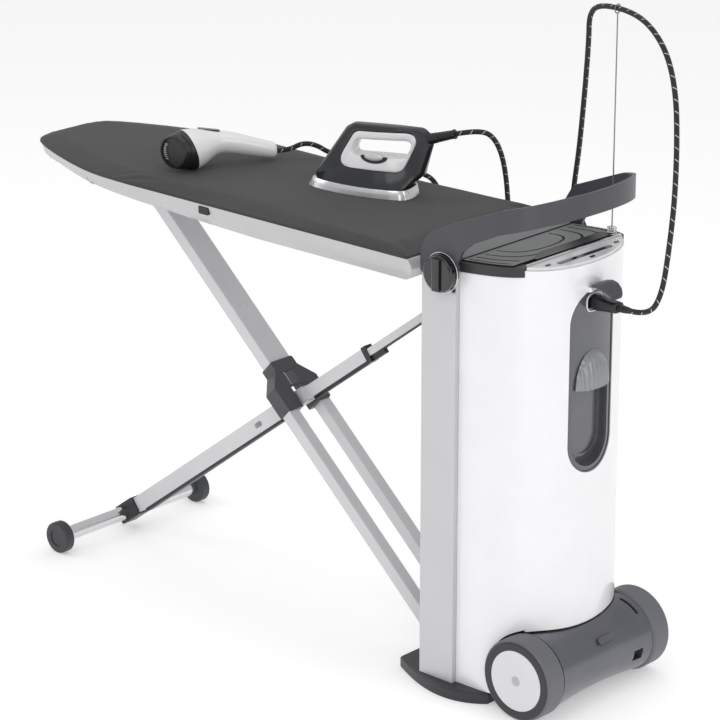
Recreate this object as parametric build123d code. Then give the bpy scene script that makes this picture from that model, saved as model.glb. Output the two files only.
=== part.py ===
from build123d import *
import math
import os

os.makedirs("parts", exist_ok=True)

# Steam ironing system: a tower with boiler and water tank, a folding board on two crossed
# legs, a steam iron on its hose and a hand steamer on a second hose.
# Millimetres, +Z up. The origin is on the floor under the front face of the tower's column.
# +X runs from the board's nose to the tower, +Y to the far side of the board.

# Clearances
running_gap = 0.05
seat_gap = 0.3
moving_gap = 0.6
slot_gap = 1.0
overrun = 5.0
sheet_wall = 1.8
shell_wall = 3.0

# Column and base plate
column_depth = 84.0
column_half_width = 173.0
column_corner = 5.0
column_top = 838.0
base_height = 22.0
base_lip_x = -72.0
base_rear_x = 162.0
base_half_width = 194.0
base_edge = 4.0
base_outline_shares = [(0.0, 0.74), (0.37, 0.943), (0.66, 1.0), (1.0, 0.83)]
base_notch_half_width = 131.0
slot_centre_y = 65.0
slot_width = 9.0
slot_start_z = 34.0
cap_height = 11.0
screw_radius = 3.0
screw_head = 1.6
screw_drop = 56.0

# Tower housing: a bow-fronted shell behind the column
housing_front_x = 265.0
side_step = 11.0
housing_half_width = column_half_width - side_step
bow_shoulder_shares = (0.735, 0.852)
ridge_x = 216.0
tray_start_x = 90.0
tray_bottom_z = 827.0
tray_slope = 0.087
tray_height = 18.0
tray_overhang = 2.0
panel_top_z = 856.0
panel_front_z = 852.0
panel_height = 6.0
panel_inset = 2.5
shelf_z = 176.0
shelf_thickness = 4.0

# Wheels
wheel_x = 245.0
wheel_radius = 79.0
wheel_outer_y = 181.0
wheel_width = 50.0
wheel_shoulder = 9.0
wheel_disc_radius = 59.0
wheel_disc_depth = 5.0
wheel_dimple_radius = 9.0
wheel_dimple_depth = 2.0
axle_radius = 8.0
drum_end_radius = 75.0
drum_middle_radius = 68.0
drum_half_width = 130.0
arch_gap = 3.5

# Rest mat, its grooves as shares of the mat's half width and of the housing's front
mat_height = 3.0
mat_inset = 7.0
mat_end_x = 194.0
groove_width = 4.0
groove_depth = 1.8
groove_shares = [(0.968, 0.951), (0.845, 0.853), (0.697, 0.709), (0.49, 0.604)]

# Carry handle that bows round the rest
handle_start_x = 5.0
handle_front_x = 280.0
handle_thickness = 6.5
handle_gap = 0.5
handle_half_width = column_half_width + handle_gap + handle_thickness
handle_low_z = 814.0
handle_high_z = 985.0
handle_edge = 1.2
handle_top_shares = [(1.06, 1.0), (0.949, 0.986), (0.665, 0.864), (0.231, 0.585), (0.113, 0.5), (0.05, 0.409), (0.0, 0.257)]
handle_foot_shares = [(0.0, 0.0), (0.316, 0.0), (0.316, 0.187), (0.365, 0.339), (0.44, 0.439), (0.656, 0.6), (0.901, 0.713), (1.06, 0.767)]
far_corner_shares = [(-0.1, 0.22), (0.1, 0.24), (0.24, 0.6), (0.24, 1.1), (-0.1, 1.1)]
handle_corner = 7.0

# Knobs that clamp the board's height
knob_x = 57.0
knob_z = 823.0
knob_radius = 35.0
knob_thickness = 15.0
knob_grip_width = 17.0
knob_grip_height = 7.0
knob_stem_radius = 5.0
knob_stem_length = 5.0

# Water tank in its bay
tank_half_width = 62.0
tank_top_z = 797.0
tank_bottom_z = 445.0
tank_split_z = 748.0
tank_depth = 74.0
tank_recess = 3.0
bay_wall = 2.5
grip_top_z = 680.0
grip_bottom_z = 611.0
grip_reach = 13.0
grip_half_width = 47.0
tank_scoop_depth = 20.0
tank_scoop_inset = 16.0
tank_groove_width = 5.0
tank_groove_depth = 2.5
rib_count = 7
rib_width = 5.0
rib_height = 1.4

# Socket, its flap and the hose plug
socket_z = 771.0
socket_half_width = 17.0
socket_half_height = 10.0
socket_depth = 22.0
flap_radius = 26.0
flap_thickness = 5.0
flap_reach = 50.0
flap_pin_radius = 3.0
flap_pin_z = 800.0
flap_pin_out = 5.0
flap_tilt = 8.0
plug_length = 80.0
plug_half_width = 13.0
plug_half_height = 8.0
plug_neck_length = 24.0

# Hose mast
mast_x = 199.0
mast_y = housing_half_width * 0.79
mast_spring_radius = 8.0
mast_spring_wire = 1.3
mast_spring_turns = 4
mast_spring_pitch = 4.6
mast_wire_radius = 1.2
mast_top_z = 1276.0
mast_ring_radius = 8.0
mast_cup_radius = 11.0
mast_cup_height = 3.0

# Buttons
button_travel = 1.0
drum_button_angle = 35.0
drum_button_y = 10.0
drum_button_length = 46.0
drum_button_width = 15.0
drum_button_proud = 2.0
drum_button_travel = 3.0

# Board
board_nose_x = -1137.0
board_rear_x = -4.0
board_half_width = 204.0
board_shares = [(0.0, 0.0), (0.007, 0.40), (0.030, 0.578), (0.102, 0.745), (0.2136, 0.955), (0.3107, 1.0)]
hinge_x = -34.0
hinge_z = 822.0
cover_top_z = 852.0
cover_bottom_z = 838.0
cover_edge = 9.0
cover_lap = 2.0
rim_top_z = 837.7
rim_bottom_z = 793.0
rim_nose_rise = 13.0
rim_draft = 15.0
rim_wall = 2.0
plate_thickness = 2.0
hinge_pin_radius = 5.0
lug_y = 60.0
lug_half_width = 3.5
ear_half_width = 3.0
ear_gap = 0.5
ear_radius = 12.0
rail_y = 39.0
rail_half_width = 6.0
rail_height = 22.0
rail_start_x = -1010.0
rail_end_x = -800.0
brace_height = 12.0

# Leg pivots in the XZ plane
top_pivot = (-873.0, 775.0)
foot_pivot = (-78.0, 50.0)
hub_pivot = (-473.0, 410.0)
carriage_pivot = (-60.0, 715.0)
foot_bar = (-975.0, 33.0)

# Carriage
carriage_half_width = 75.0
carriage_gap = 3.0
carriage_thickness = 6.0
carriage_top_z = 786.0
carriage_bottom_z = 690.0
shoe_half_width = 9.0
shoe_thickness = 4.0
clevis_half_gap = 12.6
clevis_thickness = 6.0
clevis_radius = 12.0

# Leg A: a channel above the hub, two rails below it
leg_a_half_depth = 13.5
channel_half_width = 29.0
rail_inner_y = 31.5
rail_outer_y = 57.5
channel_end = -64.0
hub_start = -84.0
hub_end = 26.0
hub_neck_half_width = 31.0
hub_half_width = 59.5
hub_gap_half_width = 20.0
hub_face = 17.0
hub_pin_radius = 5.0
window_half_width = 14.0
window_start = -56.0
window_end = -26.0
rivet_radius = 4.0
rivet_height = 1.2

# Leg B: lower plank, sleeve and upper profile in one line
plank_half_depth = 16.3
plank_half_width = 12.0
sleeve_half_depth = 12.5
sleeve_half_width = 9.8
profile_half_depth = 7.5
profile_half_width = 7.6
plank_end = 655.0
sleeve_start = 610.0
sleeve_end = 853.0
profile_start = 800.0
stay_half_width = 5.0
stay_depth = 7.0
foot_tube_radius = 15.0
roller_radius = 33.0
roller_width = 22.0
roller_y = 197.0
roller_axle_radius = 6.0

# Iron: local frame with its origin at the rear of the sole, X from nose to rear
iron_rear = (-249.0, 73.0)
iron_turn = 18.5
iron_sole_height = 18.0
iron_height = 136.0
iron_tip = -203.0
iron_outline = [(-152.0, 31.0), (-106.0, 40.5), (-62.0, 45.6), (-22.0, 42.0), (-2.0, 35.0)]
iron_profile = [
    (-200.0, 19.0),
    (-128.0, 126.0),
    (-114.0, 134.0),
    (31.0, 138.0),
    (45.0, 127.0),
    (51.0, 109.0),
    (32.0, 46.0),
    (-1.0, 19.0),
]
iron_waist_share = 0.62
iron_waist_z = 62.0
iron_top_share = 0.36
iron_corner = 7.0
frame_profile = [(-105.0, 121.0), (19.0, 127.0), (-11.0, 52.0), (-135.0, 53.0)]
grip_profile = [(-101.0, 104.0), (4.0, 109.0), (-5.0, 82.0), (-105.0, 76.0)]
frame_inset = 1.0
iron_button_at = (-64.0, 75.0)
iron_button_length = 40.0
iron_button_height = 17.0
iron_button_travel = 1.5
sleeve_root = (44.0, 118.0)
sleeve_tip = (95.0, 133.0)
sleeve_root_radius = 9.0
sleeve_tip_radius = 6.5

# Steamer: it lies in an upright plane; distances run from the handle's end to the head
steamer_end = (-619.0, 90.0, 871.0)
steamer_heading = 61.1
steamer_face = (-224.5, 882.5, 33.0, -24.0)
steamer_base = (-180.0, 890.3, 42.0, -26.0)
steamer_sections = [
    (-147.0, 893.0, 35.0, -14.0),
    (-128.0, 896.5, 26.5, 0.0),
    (-107.0, 898.0, 22.2, 12.0),
    (-14.0, 874.5, 15.8, 14.9),
    (-0.6, 871.0, 14.0, 0.0),
]
steamer_end_radius = 6.0
steamer_hose_dip = 3.8
comb_count = 12
comb_radius = 1.6
comb_height = 1.2
trigger_at = (-138.0, 925.4)
trigger_tilt = 10.0
trigger_length = 46.0
trigger_width = 13.0
trigger_proud = 1.6
trigger_sink = 10.0
trigger_travel = 1.5

# Rim, catch and hinge of the board
rim_inset = 4.0
rear_block = 42.0
pocket_reach = 9.6
hinge_ear_radius = 9.0
pocket_half_width = 11.5
leg_notch_height = 10.5
catch_x = -532.0
catch_z = 826.0
catch_width = 26.0
catch_height = 15.0
catch_depth = 6.0

# Hoses: braided, 10 mm across
hose_radius = 5.0
bend_share = 0.45
hose_end_straight = 10.0

# Hose that feeds the iron, from the iron's sleeve over the far edge, up to the mast, down to the plug
iron_hose_route = [
    (-118, 117, 997),
    (-106, 152, 982),
    (-118, 200, 915),
    (-130, 228, 800),
    (-125, 236, 670),
    (-105, 238, 560),
    (-70, 237, 485),
    (-20, 234, 485),
    (15, 230, 555),
    (25, 224, 670),
    (26, 219, 800),
    (46, 205, 904),
    (71, 187, 980),
    (99, 165, 1103),
    (118, 149, 1202),
    (124, 141, 1255),
    (156, 133, 1277),
    (232, 124, 1277),
    (291, 108, 1261),
    (339, 95, 1220),
    (371, 80, 1156),
    (390, 62, 1072),
    (404, 42, 979),
    (410, 22, 893),
    (408, 8, 812),
    (386, 1, 771),
]

# Hose of the steamer, behind the iron, over the far edge and down to its coil
steamer_hose_route = [
    (-607, 112, 869.4),
    (-590, 135, 883),
    (-568, 152, 880),
    (-550, 170, 863),
    (-500, 184, 858),
    (-410, 190, 858),
    (-345, 200, 860),
    (-302, 222, 838),
    (-288, 232, 720),
    (-270, 238, 590),
    (-245, 247, 460),
    (-205, 264, 340),
    (-150, 294, 240),
    (-105, 320, 170),
    (-92, 330, 100),
]
coil_centre = (-125.0, 300.0)
coil_z = 7.5
coil_inner_radius = 42.0
coil_lead_radius = 30.0
coil_pitch = 10.7
coil_half_turns = 6
coil_lead_run = 45.0
tie_width = 9.0
tie_wall = 1.6
tie_gap = 0.4
steamer_plug_length = 38.0
steamer_plug_radius = 9.0


def save(shape, node):
    export_step(shape, "parts/" + node + ".step")


def block(x_low, x_high, y_low, y_high, z_low, z_high):
    centre = Pos((x_low + x_high) / 2, (y_low + y_high) / 2, (z_low + z_high) / 2)
    return centre * Box(x_high - x_low, y_high - y_low, z_high - z_low)


def side_prism(points, y_low, y_high):
    outline = Polyline(*[(x, y_low, z) for x, z in points], close=True)
    return extrude(make_face(outline), y_high - y_low, dir=(0, 1, 0))


def side_disc(centre, radius, y_low, y_high):
    plane = Plane((centre[0], y_low, centre[1]), x_dir=(1, 0, 0), z_dir=(0, 1, 0))
    return extrude(plane * Circle(radius), y_high - y_low)


def bow_face(x_start, x_front, half_width, z):
    # Plan of the tower: straight across at the column, bowed towards +X.
    shoulder_x = x_start + (x_front - x_start) * bow_shoulder_shares[0]
    shoulder_y = half_width * bow_shoulder_shares[1]
    near = [(x_start, -half_width, z), (shoulder_x, -shoulder_y, z), (x_front, 0, z)]
    far = [(x, -y, z) for x, y, z in reversed(near)]
    curves = [
        Spline(*near, tangents=[(1, 0, 0), (0, 1, 0)]),
        Spline(*far, tangents=[(0, 1, 0), (-1, 0, 0)]),
        Line(far[-1], near[0]),
    ]
    return Face(Wire(curves))


def bow_solid(x_start, x_front, half_width, z_low, z_high):
    return extrude(bow_face(x_start, x_front, half_width, z_low), z_high - z_low, dir=(0, 0, 1))


def board_face(inset, rear, z):
    # Plan of the board: straight sides, tapered to a blunt rounded nose.
    nose = board_nose_x + inset
    half = board_half_width - inset
    length = board_rear_x - board_nose_x
    near = [(nose + length * x, -half * y, z) for x, y in board_shares]
    far = [(x, -y, z) for x, y, z in reversed(near)]
    curves = [
        Spline(*near, tangents=[(0, -1, 0), (1, 0, 0)]),
        Line(near[-1], (rear, -half, z)),
        Line((rear, -half, z), (rear, half, z)),
        Line((rear, half, z), far[0]),
        Spline(*far, tangents=[(-1, 0, 0), (0, -1, 0)]),
    ]
    return Face(Wire(curves))


def tray_level(x):
    return tray_bottom_z + (x - tray_start_x) * tray_slope


def half_oval_prism(half_width, z_low, z_high, x_low, x_high):
    # Upright stadium across YZ, extruded along X.
    plane = Plane((x_low, 0, (z_low + z_high) / 2), x_dir=(0, 1, 0), z_dir=(1, 0, 0))
    oval = SlotOverall(z_high - z_low, 2 * half_width, rotation=90)
    return extrude(plane * oval, x_high - x_low)


def drum_profile(growth):
    # Waisted drum: wider at both ends than in the middle.
    points = [
        (wheel_x + drum_end_radius + growth, -drum_half_width, wheel_radius),
        (wheel_x + drum_middle_radius + growth, 0, wheel_radius),
        (wheel_x + drum_end_radius + growth, drum_half_width, wheel_radius),
    ]
    waist = ThreePointArc(*points)
    ends = Polyline(points[2], (wheel_x, drum_half_width, wheel_radius), (wheel_x, -drum_half_width, wheel_radius), points[0])
    return make_face(waist + ends)


wheel_axis = Axis((wheel_x, 0, wheel_radius), (0, 1, 0))
wheel_centre = (wheel_x, wheel_radius)
wheel_inner_y = wheel_outer_y - wheel_width


def both_sides(make):
    return [make(-1), make(1)]


def at_side(solid, side):
    # side is -1 for the near side (as drawn) and 1 for the far side
    return solid if side < 0 else mirror(solid, Plane.XZ)


def make_base_plate():
    length = base_rear_x - base_lip_x
    near = [(base_lip_x + length * x, -base_half_width * y, 0) for x, y in base_outline_shares]
    far = [(x, -y, 0) for x, y, z in near]
    outline = Spline(*near) + Line(near[-1], far[-1]) + Spline(*far) + Line(far[0], near[0])
    plate = extrude(make_face(outline), base_height, dir=(0, 0, 1))
    top_edges = plate.edges().group_by(Axis.Z)[-1]
    plate = chamfer(top_edges, base_edge)
    cradle = block(
        base_rear_x - overrun,
        wheel_x - drum_middle_radius * 0.5,
        -drum_half_width * 0.9,
        drum_half_width * 0.9,
        base_edge,
        base_height + overrun,
    )
    room = revolve(drum_profile(seat_gap), wheel_axis)
    plate = plate + (cradle - room)
    for side in (-1, 1):
        wheel_room = side_disc(wheel_centre, wheel_radius + arch_gap, wheel_inner_y - slot_gap, wheel_outer_y + base_half_width)
        plate = plate - at_side(mirror(wheel_room, Plane.XZ), side)
    return plate + make_leg_bracket()


def make_column():
    outer = block(0, column_depth, -column_half_width, column_half_width, base_height + seat_gap, column_top)
    front_edges = outer.edges().filter_by(Axis.Z).group_by(Axis.X)[0]
    outer = fillet(front_edges, column_corner)
    inner = block(
        sheet_wall,
        column_depth - sheet_wall,
        -column_half_width + sheet_wall,
        column_half_width - sheet_wall,
        base_height,
        column_top + overrun,
    )
    inner_edges = inner.edges().filter_by(Axis.Z).group_by(Axis.X)[0]
    column = outer - fillet(inner_edges, column_corner - sheet_wall)
    for side in (-1, 1):
        centre = side * slot_centre_y
        column = column - block(
            -overrun,
            sheet_wall + overrun,
            centre - slot_width / 2,
            centre + slot_width / 2,
            slot_start_z,
            column_top + overrun,
        )
        spot = (column_depth * 0.96, column_top - screw_drop)
        face = column_half_width
        screw = side_disc(spot, screw_radius * 1.6, -face - screw_head, -face + sheet_wall / 2)
        column = column + at_side(screw, side)
    return column


def make_column_cap():
    cap = block(
        0,
        column_depth,
        -column_half_width + handle_thickness,
        column_half_width - handle_thickness,
        column_top + seat_gap,
        column_top + cap_height,
    )
    return fillet(cap.edges().group_by(Axis.Z)[-1], base_edge)


def above_plane(x_low, x_high, slope_x, level, slope, height):
    # Wedge over a plane that rises towards +X, used to trim tops.
    def plane_z(x):
        return level + (x - slope_x) * slope

    points = [
        (x_low, plane_z(x_low)),
        (x_high, plane_z(x_high)),
        (x_high, plane_z(x_high) + height),
        (x_low, plane_z(x_low) + height),
    ]
    return side_prism(points, -base_half_width, base_half_width)


mast_base_z = tray_level(mast_x) + tray_height - mast_cup_height
panel_slope = (panel_front_z - panel_top_z) / (housing_front_x - ridge_x)


def make_housing():
    start = column_depth + seat_gap
    outer = bow_solid(start, housing_front_x, housing_half_width, base_height + seat_gap, panel_top_z)
    inner = bow_solid(
        start + shell_wall,
        housing_front_x - shell_wall,
        housing_half_width - shell_wall,
        base_height,
        panel_top_z + overrun,
    )
    shell = outer - inner
    tall = panel_top_z
    shell = shell - above_plane(0, ridge_x, tray_start_x, tray_bottom_z, tray_slope, tall)
    panel_seat = panel_top_z - panel_height
    shell = shell - above_plane(ridge_x, housing_front_x + overrun, ridge_x, panel_seat, panel_slope, tall)
    shell = shell - revolve(drum_profile(arch_gap), wheel_axis)
    for side in (-1, 1):
        arch = side_disc(wheel_centre, wheel_radius + arch_gap, -base_half_width, -wheel_inner_y + slot_gap)
        shell = shell - at_side(arch, side)
    bay = half_oval_prism(tank_half_width, tank_bottom_z, tank_top_z, ridge_x, housing_front_x + overrun)
    return (shell - bay) + make_shelf() + make_flap_bracket()


def make_shelf():
    inset = shell_wall / 2
    shelf = bow_solid(
        column_depth + seat_gap,
        housing_front_x - inset,
        housing_half_width - inset,
        shelf_z,
        shelf_z + shelf_thickness,
    )
    return shelf


boiler_radius = 56.0
boiler_height = 200.0
boiler_x = 152.0


def make_boiler():
    base = shelf_z + shelf_thickness + seat_gap
    tank = Pos(boiler_x, 0, base + boiler_height / 2) * Cylinder(boiler_radius, boiler_height)
    tank = fillet(tank.edges().group_by(Axis.Z)[-1], boiler_radius / 3)
    return tank


def make_rest_frame():
    front = housing_front_x + tray_overhang
    half = housing_half_width + tray_overhang
    start = column_depth + seat_gap
    slab = bow_solid(start, front, half, tray_bottom_z - overrun, panel_top_z + overrun)
    slab = slab - above_plane(0, front, tray_start_x, tray_bottom_z + tray_height, tray_slope, panel_top_z)
    under = above_plane(0, front, tray_start_x, tray_bottom_z + seat_gap - tray_height * 2, tray_slope, tray_height * 2)
    slab = slab - under
    slab = slab - block(ridge_x, front + overrun, -base_half_width, base_half_width, 0, mast_top_z)
    channel = above_plane(
        mat_end_x + seat_gap,
        ridge_x + overrun,
        tray_start_x,
        tray_bottom_z + tray_height / 2,
        tray_slope,
        tray_height,
    )
    channel = channel & block(0, front, -half * 0.74, half * 0.74, 0, mast_top_z)
    return slab - channel - make_mast_recess()


def make_rest_mat():
    # Silicone mat with nested grooves that follow the bowed front.
    front = housing_front_x
    half = housing_half_width - mat_inset
    top = tray_bottom_z + tray_height + mat_height
    start = column_depth + slot_gap
    slab = bow_solid(start, front, half, tray_bottom_z, panel_top_z + overrun)
    slab = slab - above_plane(0, front, tray_start_x, top, tray_slope, panel_top_z)
    slab = slab - above_plane(0, front, tray_start_x, top - mat_height + seat_gap - panel_top_z, tray_slope, panel_top_z)
    slab = slab - block(mat_end_x, front + overrun, -base_half_width, base_half_width, 0, mast_top_z)
    cup = Pos(mast_x, mast_y, panel_top_z) * Cylinder(mast_cup_radius + seat_gap, panel_top_z / 4)
    slab = slab - cup
    lands = above_plane(0, front, tray_start_x, top - groove_depth, tray_slope, mat_height)
    for half_share, front_share in groove_shares:
        groove_half = half * half_share
        groove_front = front * front_share
        ring = bow_solid(start, groove_front, groove_half, tray_bottom_z, panel_top_z)
        core = bow_solid(
            start - overrun,
            groove_front - groove_width,
            groove_half - groove_width,
            tray_bottom_z - overrun,
            panel_top_z + overrun,
        )
        groove = (ring - core) - block(0, tray_start_x + groove_width, -half, half, 0, mast_top_z)
        slab = slab - (groove & lands)
    return slab


ridge_width = 5.0
ridge_height = 3.0


def make_ridge():
    # Bright bar along the front of the rest; it stops the iron sliding off.
    top = tray_level(ridge_x) + tray_height
    bar = block(
        ridge_x - ridge_width,
        ridge_x,
        -housing_half_width * 0.83,
        housing_half_width * 0.83,
        top + seat_gap,
        top + ridge_height,
    )
    return fillet(bar.edges().filter_by(Axis.Y).group_by(Axis.Z)[-1], ridge_height / 3)


display_x = 239.0
display_half_length = housing_half_width * 0.469
display_width = 10.0
display_height = 2.0
key_length = 13.0
key_width = 5.0
key_shares = [(0.347, -0.593), (0.776, 0.0185), (0.347, 0.605)]
key_spots = [(ridge_x + (housing_front_x - ridge_x) * x, housing_half_width * y) for x, y in key_shares]


def panel_level(x):
    return panel_top_z + (x - ridge_x) * panel_slope


def make_panel():
    front = housing_front_x - panel_inset
    half = housing_half_width - panel_inset
    slab = bow_solid(column_depth, front, half, panel_front_z - panel_height * 2, panel_top_z + overrun)
    slab = slab - above_plane(0, front, ridge_x, panel_top_z, panel_slope, panel_top_z)
    seat = panel_top_z - panel_height + seat_gap
    slab = slab - above_plane(0, front, ridge_x, seat - panel_top_z, panel_slope, panel_top_z)
    slab = slab & block(ridge_x + seat_gap, front + overrun, -half, half, 0, mast_top_z)
    window = block(
        display_x - display_width / 2,
        display_x + display_width / 2,
        -display_half_length,
        display_half_length,
        panel_level(display_x) - display_height,
        panel_top_z + overrun,
    )
    slab = slab - fillet(window.edges().filter_by(Axis.Z), display_width / 3)
    for x, y in key_spots:
        slab = slab - key_plug(x, y, seat_gap, panel_top_z - panel_height - overrun, panel_top_z + overrun)
    return slab


def key_plug(x, y, growth, z_low, z_high):
    plane = Plane((x, y, z_low), x_dir=(0, 1, 0), z_dir=(0, 0, 1))
    return extrude(plane * SlotOverall(key_length + growth * 2, key_width + growth * 2), z_high - z_low)


def make_display():
    gap = seat_gap
    strip = block(
        display_x - display_width / 2 + gap,
        display_x + display_width / 2 - gap,
        -display_half_length + gap,
        display_half_length - gap,
        panel_level(display_x) - display_height + gap,
        panel_level(display_x) + gap,
    )
    return fillet(strip.edges().filter_by(Axis.Z), display_width / 4)


def make_key(x, y):
    top = panel_level(x)
    return key_plug(x, y, 0, top - panel_height / 2, top + button_travel + seat_gap)


def make_handle():
    # Carry handle: one tall plate bent round the rest, its ends screwed to the column.
    grown = handle_high_z + overrun
    low = handle_low_z - overrun
    outer = bow_solid(column_depth, handle_front_x, handle_half_width, low, grown)
    outer = outer + block(handle_start_x, column_depth, -handle_half_width, handle_half_width, low, grown)
    inner_half = handle_half_width - handle_thickness
    inner = bow_solid(column_depth, handle_front_x - handle_thickness, inner_half, low - overrun, grown + overrun)
    inner = inner + block(-overrun, column_depth, -inner_half, inner_half, low - overrun, grown + overrun)
    length = handle_front_x - handle_start_x
    height = handle_high_z - handle_low_z
    shares = handle_foot_shares + handle_top_shares
    points = [(handle_start_x + length * x, -handle_half_width - overrun, handle_low_z + height * z) for x, z in shares]
    outline = FilletPolyline(*points, radius=handle_corner, close=True)
    profile = extrude(make_face(outline), 2 * (handle_half_width + overrun), dir=(0, 1, 0))
    handle = (outer - inner) & profile
    corner = [(handle_start_x + length * x, -handle_half_width - overrun, handle_low_z + height * z) for x, z in far_corner_shares]
    outline = FilletPolyline(*corner, radius=handle_corner, close=True)
    cut = extrude(make_face(outline), handle_half_width - inner_half + overrun * 2, dir=(0, 1, 0))
    handle = handle - at_side(cut, 1)
    for side in (-1, 1):
        stem = side_disc(
            (knob_x, knob_z),
            knob_stem_radius + running_gap,
            -handle_half_width - overrun,
            -handle_half_width + handle_thickness + overrun,
        )
        handle = handle - at_side(stem, side)
    return handle


def make_knob(side):
    face = -handle_half_width - seat_gap
    disc = side_disc((knob_x, knob_z), knob_radius, face - knob_thickness, face)
    disc = fillet(disc.edges().group_by(Axis.Y)[0], knob_thickness / 3)
    grip = block(
        knob_x - knob_grip_width / 2,
        knob_x + knob_grip_width / 2,
        face - knob_thickness - knob_grip_height,
        face - knob_thickness / 2,
        knob_z - knob_radius * 0.86,
        knob_z + knob_radius * 0.86,
    )
    grip = fillet(grip.edges().filter_by(Axis.Z), knob_grip_width / 4)
    stem = side_disc((knob_x, knob_z), knob_stem_radius, face - seat_gap, face + knob_stem_length)
    return at_side(disc + grip + stem, side)


def make_tyre(side):
    outer = side_disc(wheel_centre, wheel_radius, -wheel_outer_y, -wheel_inner_y)
    outer = fillet(outer.edges().filter_by(GeomType.CIRCLE), wheel_shoulder)
    recess = side_disc(wheel_centre, wheel_disc_radius, -wheel_outer_y - overrun, -wheel_outer_y + wheel_disc_depth)
    bore = side_disc(wheel_centre, axle_radius + running_gap, -wheel_outer_y - overrun, -wheel_inner_y + overrun)
    return at_side(outer - recess - bore, side)


def make_wheel_disc(side):
    gap = seat_gap
    low = -wheel_outer_y + gap
    disc = side_disc(wheel_centre, wheel_disc_radius - gap, low, -wheel_outer_y + wheel_disc_depth - gap / 2)
    disc = fillet(disc.edges().group_by(Axis.Y)[0], gap * 3)
    dimple = side_disc(wheel_centre, wheel_dimple_radius, low - overrun, low + wheel_dimple_depth)
    return at_side(disc - dimple, side)


slot_y = 112.0
slot_cut_width = 6.0
port_y = 94.0
port_width = 24.0
port_height = 22.0
port_depth = 14.0
port_low_z = 52.0


def drum_button_solid(growth, radius_low, radius_high):
    # Oval push button on the drum, its long side along Y.
    turn = math.radians(drum_button_angle)
    direction = (math.cos(turn), 0, math.sin(turn))
    centre = (
        wheel_x + direction[0] * radius_low,
        drum_button_y,
        wheel_radius + direction[2] * radius_low,
    )
    plane = Plane(centre, x_dir=(0, 1, 0), z_dir=direction)
    oval = SlotOverall(drum_button_length + growth * 2, drum_button_width + growth * 2)
    return extrude(plane * oval, radius_high - radius_low)


def make_drum():
    drum = revolve(drum_profile(0), wheel_axis)
    axle_half = wheel_outer_y - wheel_disc_depth - seat_gap
    drum = drum + side_disc(wheel_centre, axle_radius, -axle_half, axle_half)
    floor = drum_middle_radius - drum_button_travel * 3
    drum = drum - drum_button_solid(moving_gap, floor, drum_end_radius + overrun)
    ring = side_disc(wheel_centre, drum_end_radius + overrun, slot_y, slot_y + slot_cut_width)
    ring = ring - side_disc(wheel_centre, drum_middle_radius, slot_y - overrun, slot_y + slot_cut_width + overrun)
    reach = drum_end_radius + overrun
    ring = ring & block(
        wheel_x + drum_middle_radius * 0.1,
        wheel_x + drum_middle_radius * 0.72,
        0,
        slot_y * 2,
        wheel_radius,
        wheel_radius + reach,
    )
    port = block(
        wheel_x + drum_middle_radius - port_depth,
        wheel_x + reach,
        port_y - port_width / 2,
        port_y + port_width / 2,
        port_low_z,
        port_low_z + port_height,
    )
    return drum - ring - port


def make_drum_button():
    floor = drum_middle_radius - drum_button_travel * 3
    high = drum_middle_radius + drum_button_proud + drum_button_travel
    button = drum_button_solid(0, floor + drum_button_travel + seat_gap, high)
    return button


def make_bay():
    # Oval liner that the tank slides into, with the hose socket at its head.
    gap = seat_gap
    outer = half_oval_prism(
        tank_half_width - gap,
        tank_bottom_z + gap,
        tank_top_z - gap,
        housing_front_x - tank_recess - tank_depth - bay_wall * 2,
        housing_front_x + overrun,
    )
    front = bow_solid(column_depth, housing_front_x - tank_recess / 2, housing_half_width, base_height, panel_top_z)
    outer = outer & front
    room = half_oval_prism(
        tank_half_width - gap - bay_wall,
        tank_bottom_z + gap + bay_wall,
        tank_top_z + tank_half_width,
        housing_front_x - tank_recess - tank_depth - bay_wall,
        housing_front_x + overrun * 2,
    )
    room = room & block(0, mast_top_z, -base_half_width, base_half_width, 0, tank_split_z)
    liner = outer - room
    hole = block(
        housing_front_x - socket_depth,
        housing_front_x + overrun,
        -socket_half_width,
        socket_half_width,
        socket_z - socket_half_height,
        socket_z + socket_half_height,
    )
    return liner - fillet(hole.edges().filter_by(Axis.X), socket_half_height / 2)


def make_tank():
    gap = moving_gap
    half = tank_half_width - bay_wall - seat_gap - gap
    back = housing_front_x - tank_recess - tank_depth
    low = tank_bottom_z + bay_wall + seat_gap + gap
    body = half_oval_prism(half, low, tank_top_z + tank_half_width, back, housing_front_x + overrun)
    body = body & block(0, mast_top_z, -half * 2, half * 2, 0, tank_split_z - gap)
    body = body & bow_solid(column_depth, housing_front_x - tank_recess, housing_half_width, base_height, panel_top_z)
    scoop_half = half - tank_scoop_inset / 2
    scoop = half_oval_prism(
        scoop_half,
        low + tank_scoop_inset / 2,
        grip_bottom_z + scoop_half,
        housing_front_x - tank_recess - tank_scoop_depth,
        housing_front_x + overrun,
    )
    scoop = scoop & block(0, mast_top_z, -half, half, 0, grip_bottom_z)
    return (body - scoop) + make_tank_window()


def make_tank_window():
    # Clear pane low in the scoop, with a raised U round it.
    half = tank_half_width - bay_wall - seat_gap - moving_gap - tank_scoop_inset
    low = tank_bottom_z + bay_wall + moving_gap + tank_scoop_inset * 1.4
    floor_x = housing_front_x - tank_recess - tank_scoop_depth - tank_groove_depth
    pane = half_oval_prism(half, low, grip_bottom_z + half, floor_x, floor_x + tank_groove_depth * 2)
    pane = pane & block(0, mast_top_z, -half, half, 0, grip_bottom_z - seat_gap)
    inner = half - tank_groove_width
    dip = half_oval_prism(inner, low + tank_groove_width, grip_bottom_z + half, floor_x + tank_groove_depth, housing_front_x)
    return pane - dip


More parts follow.
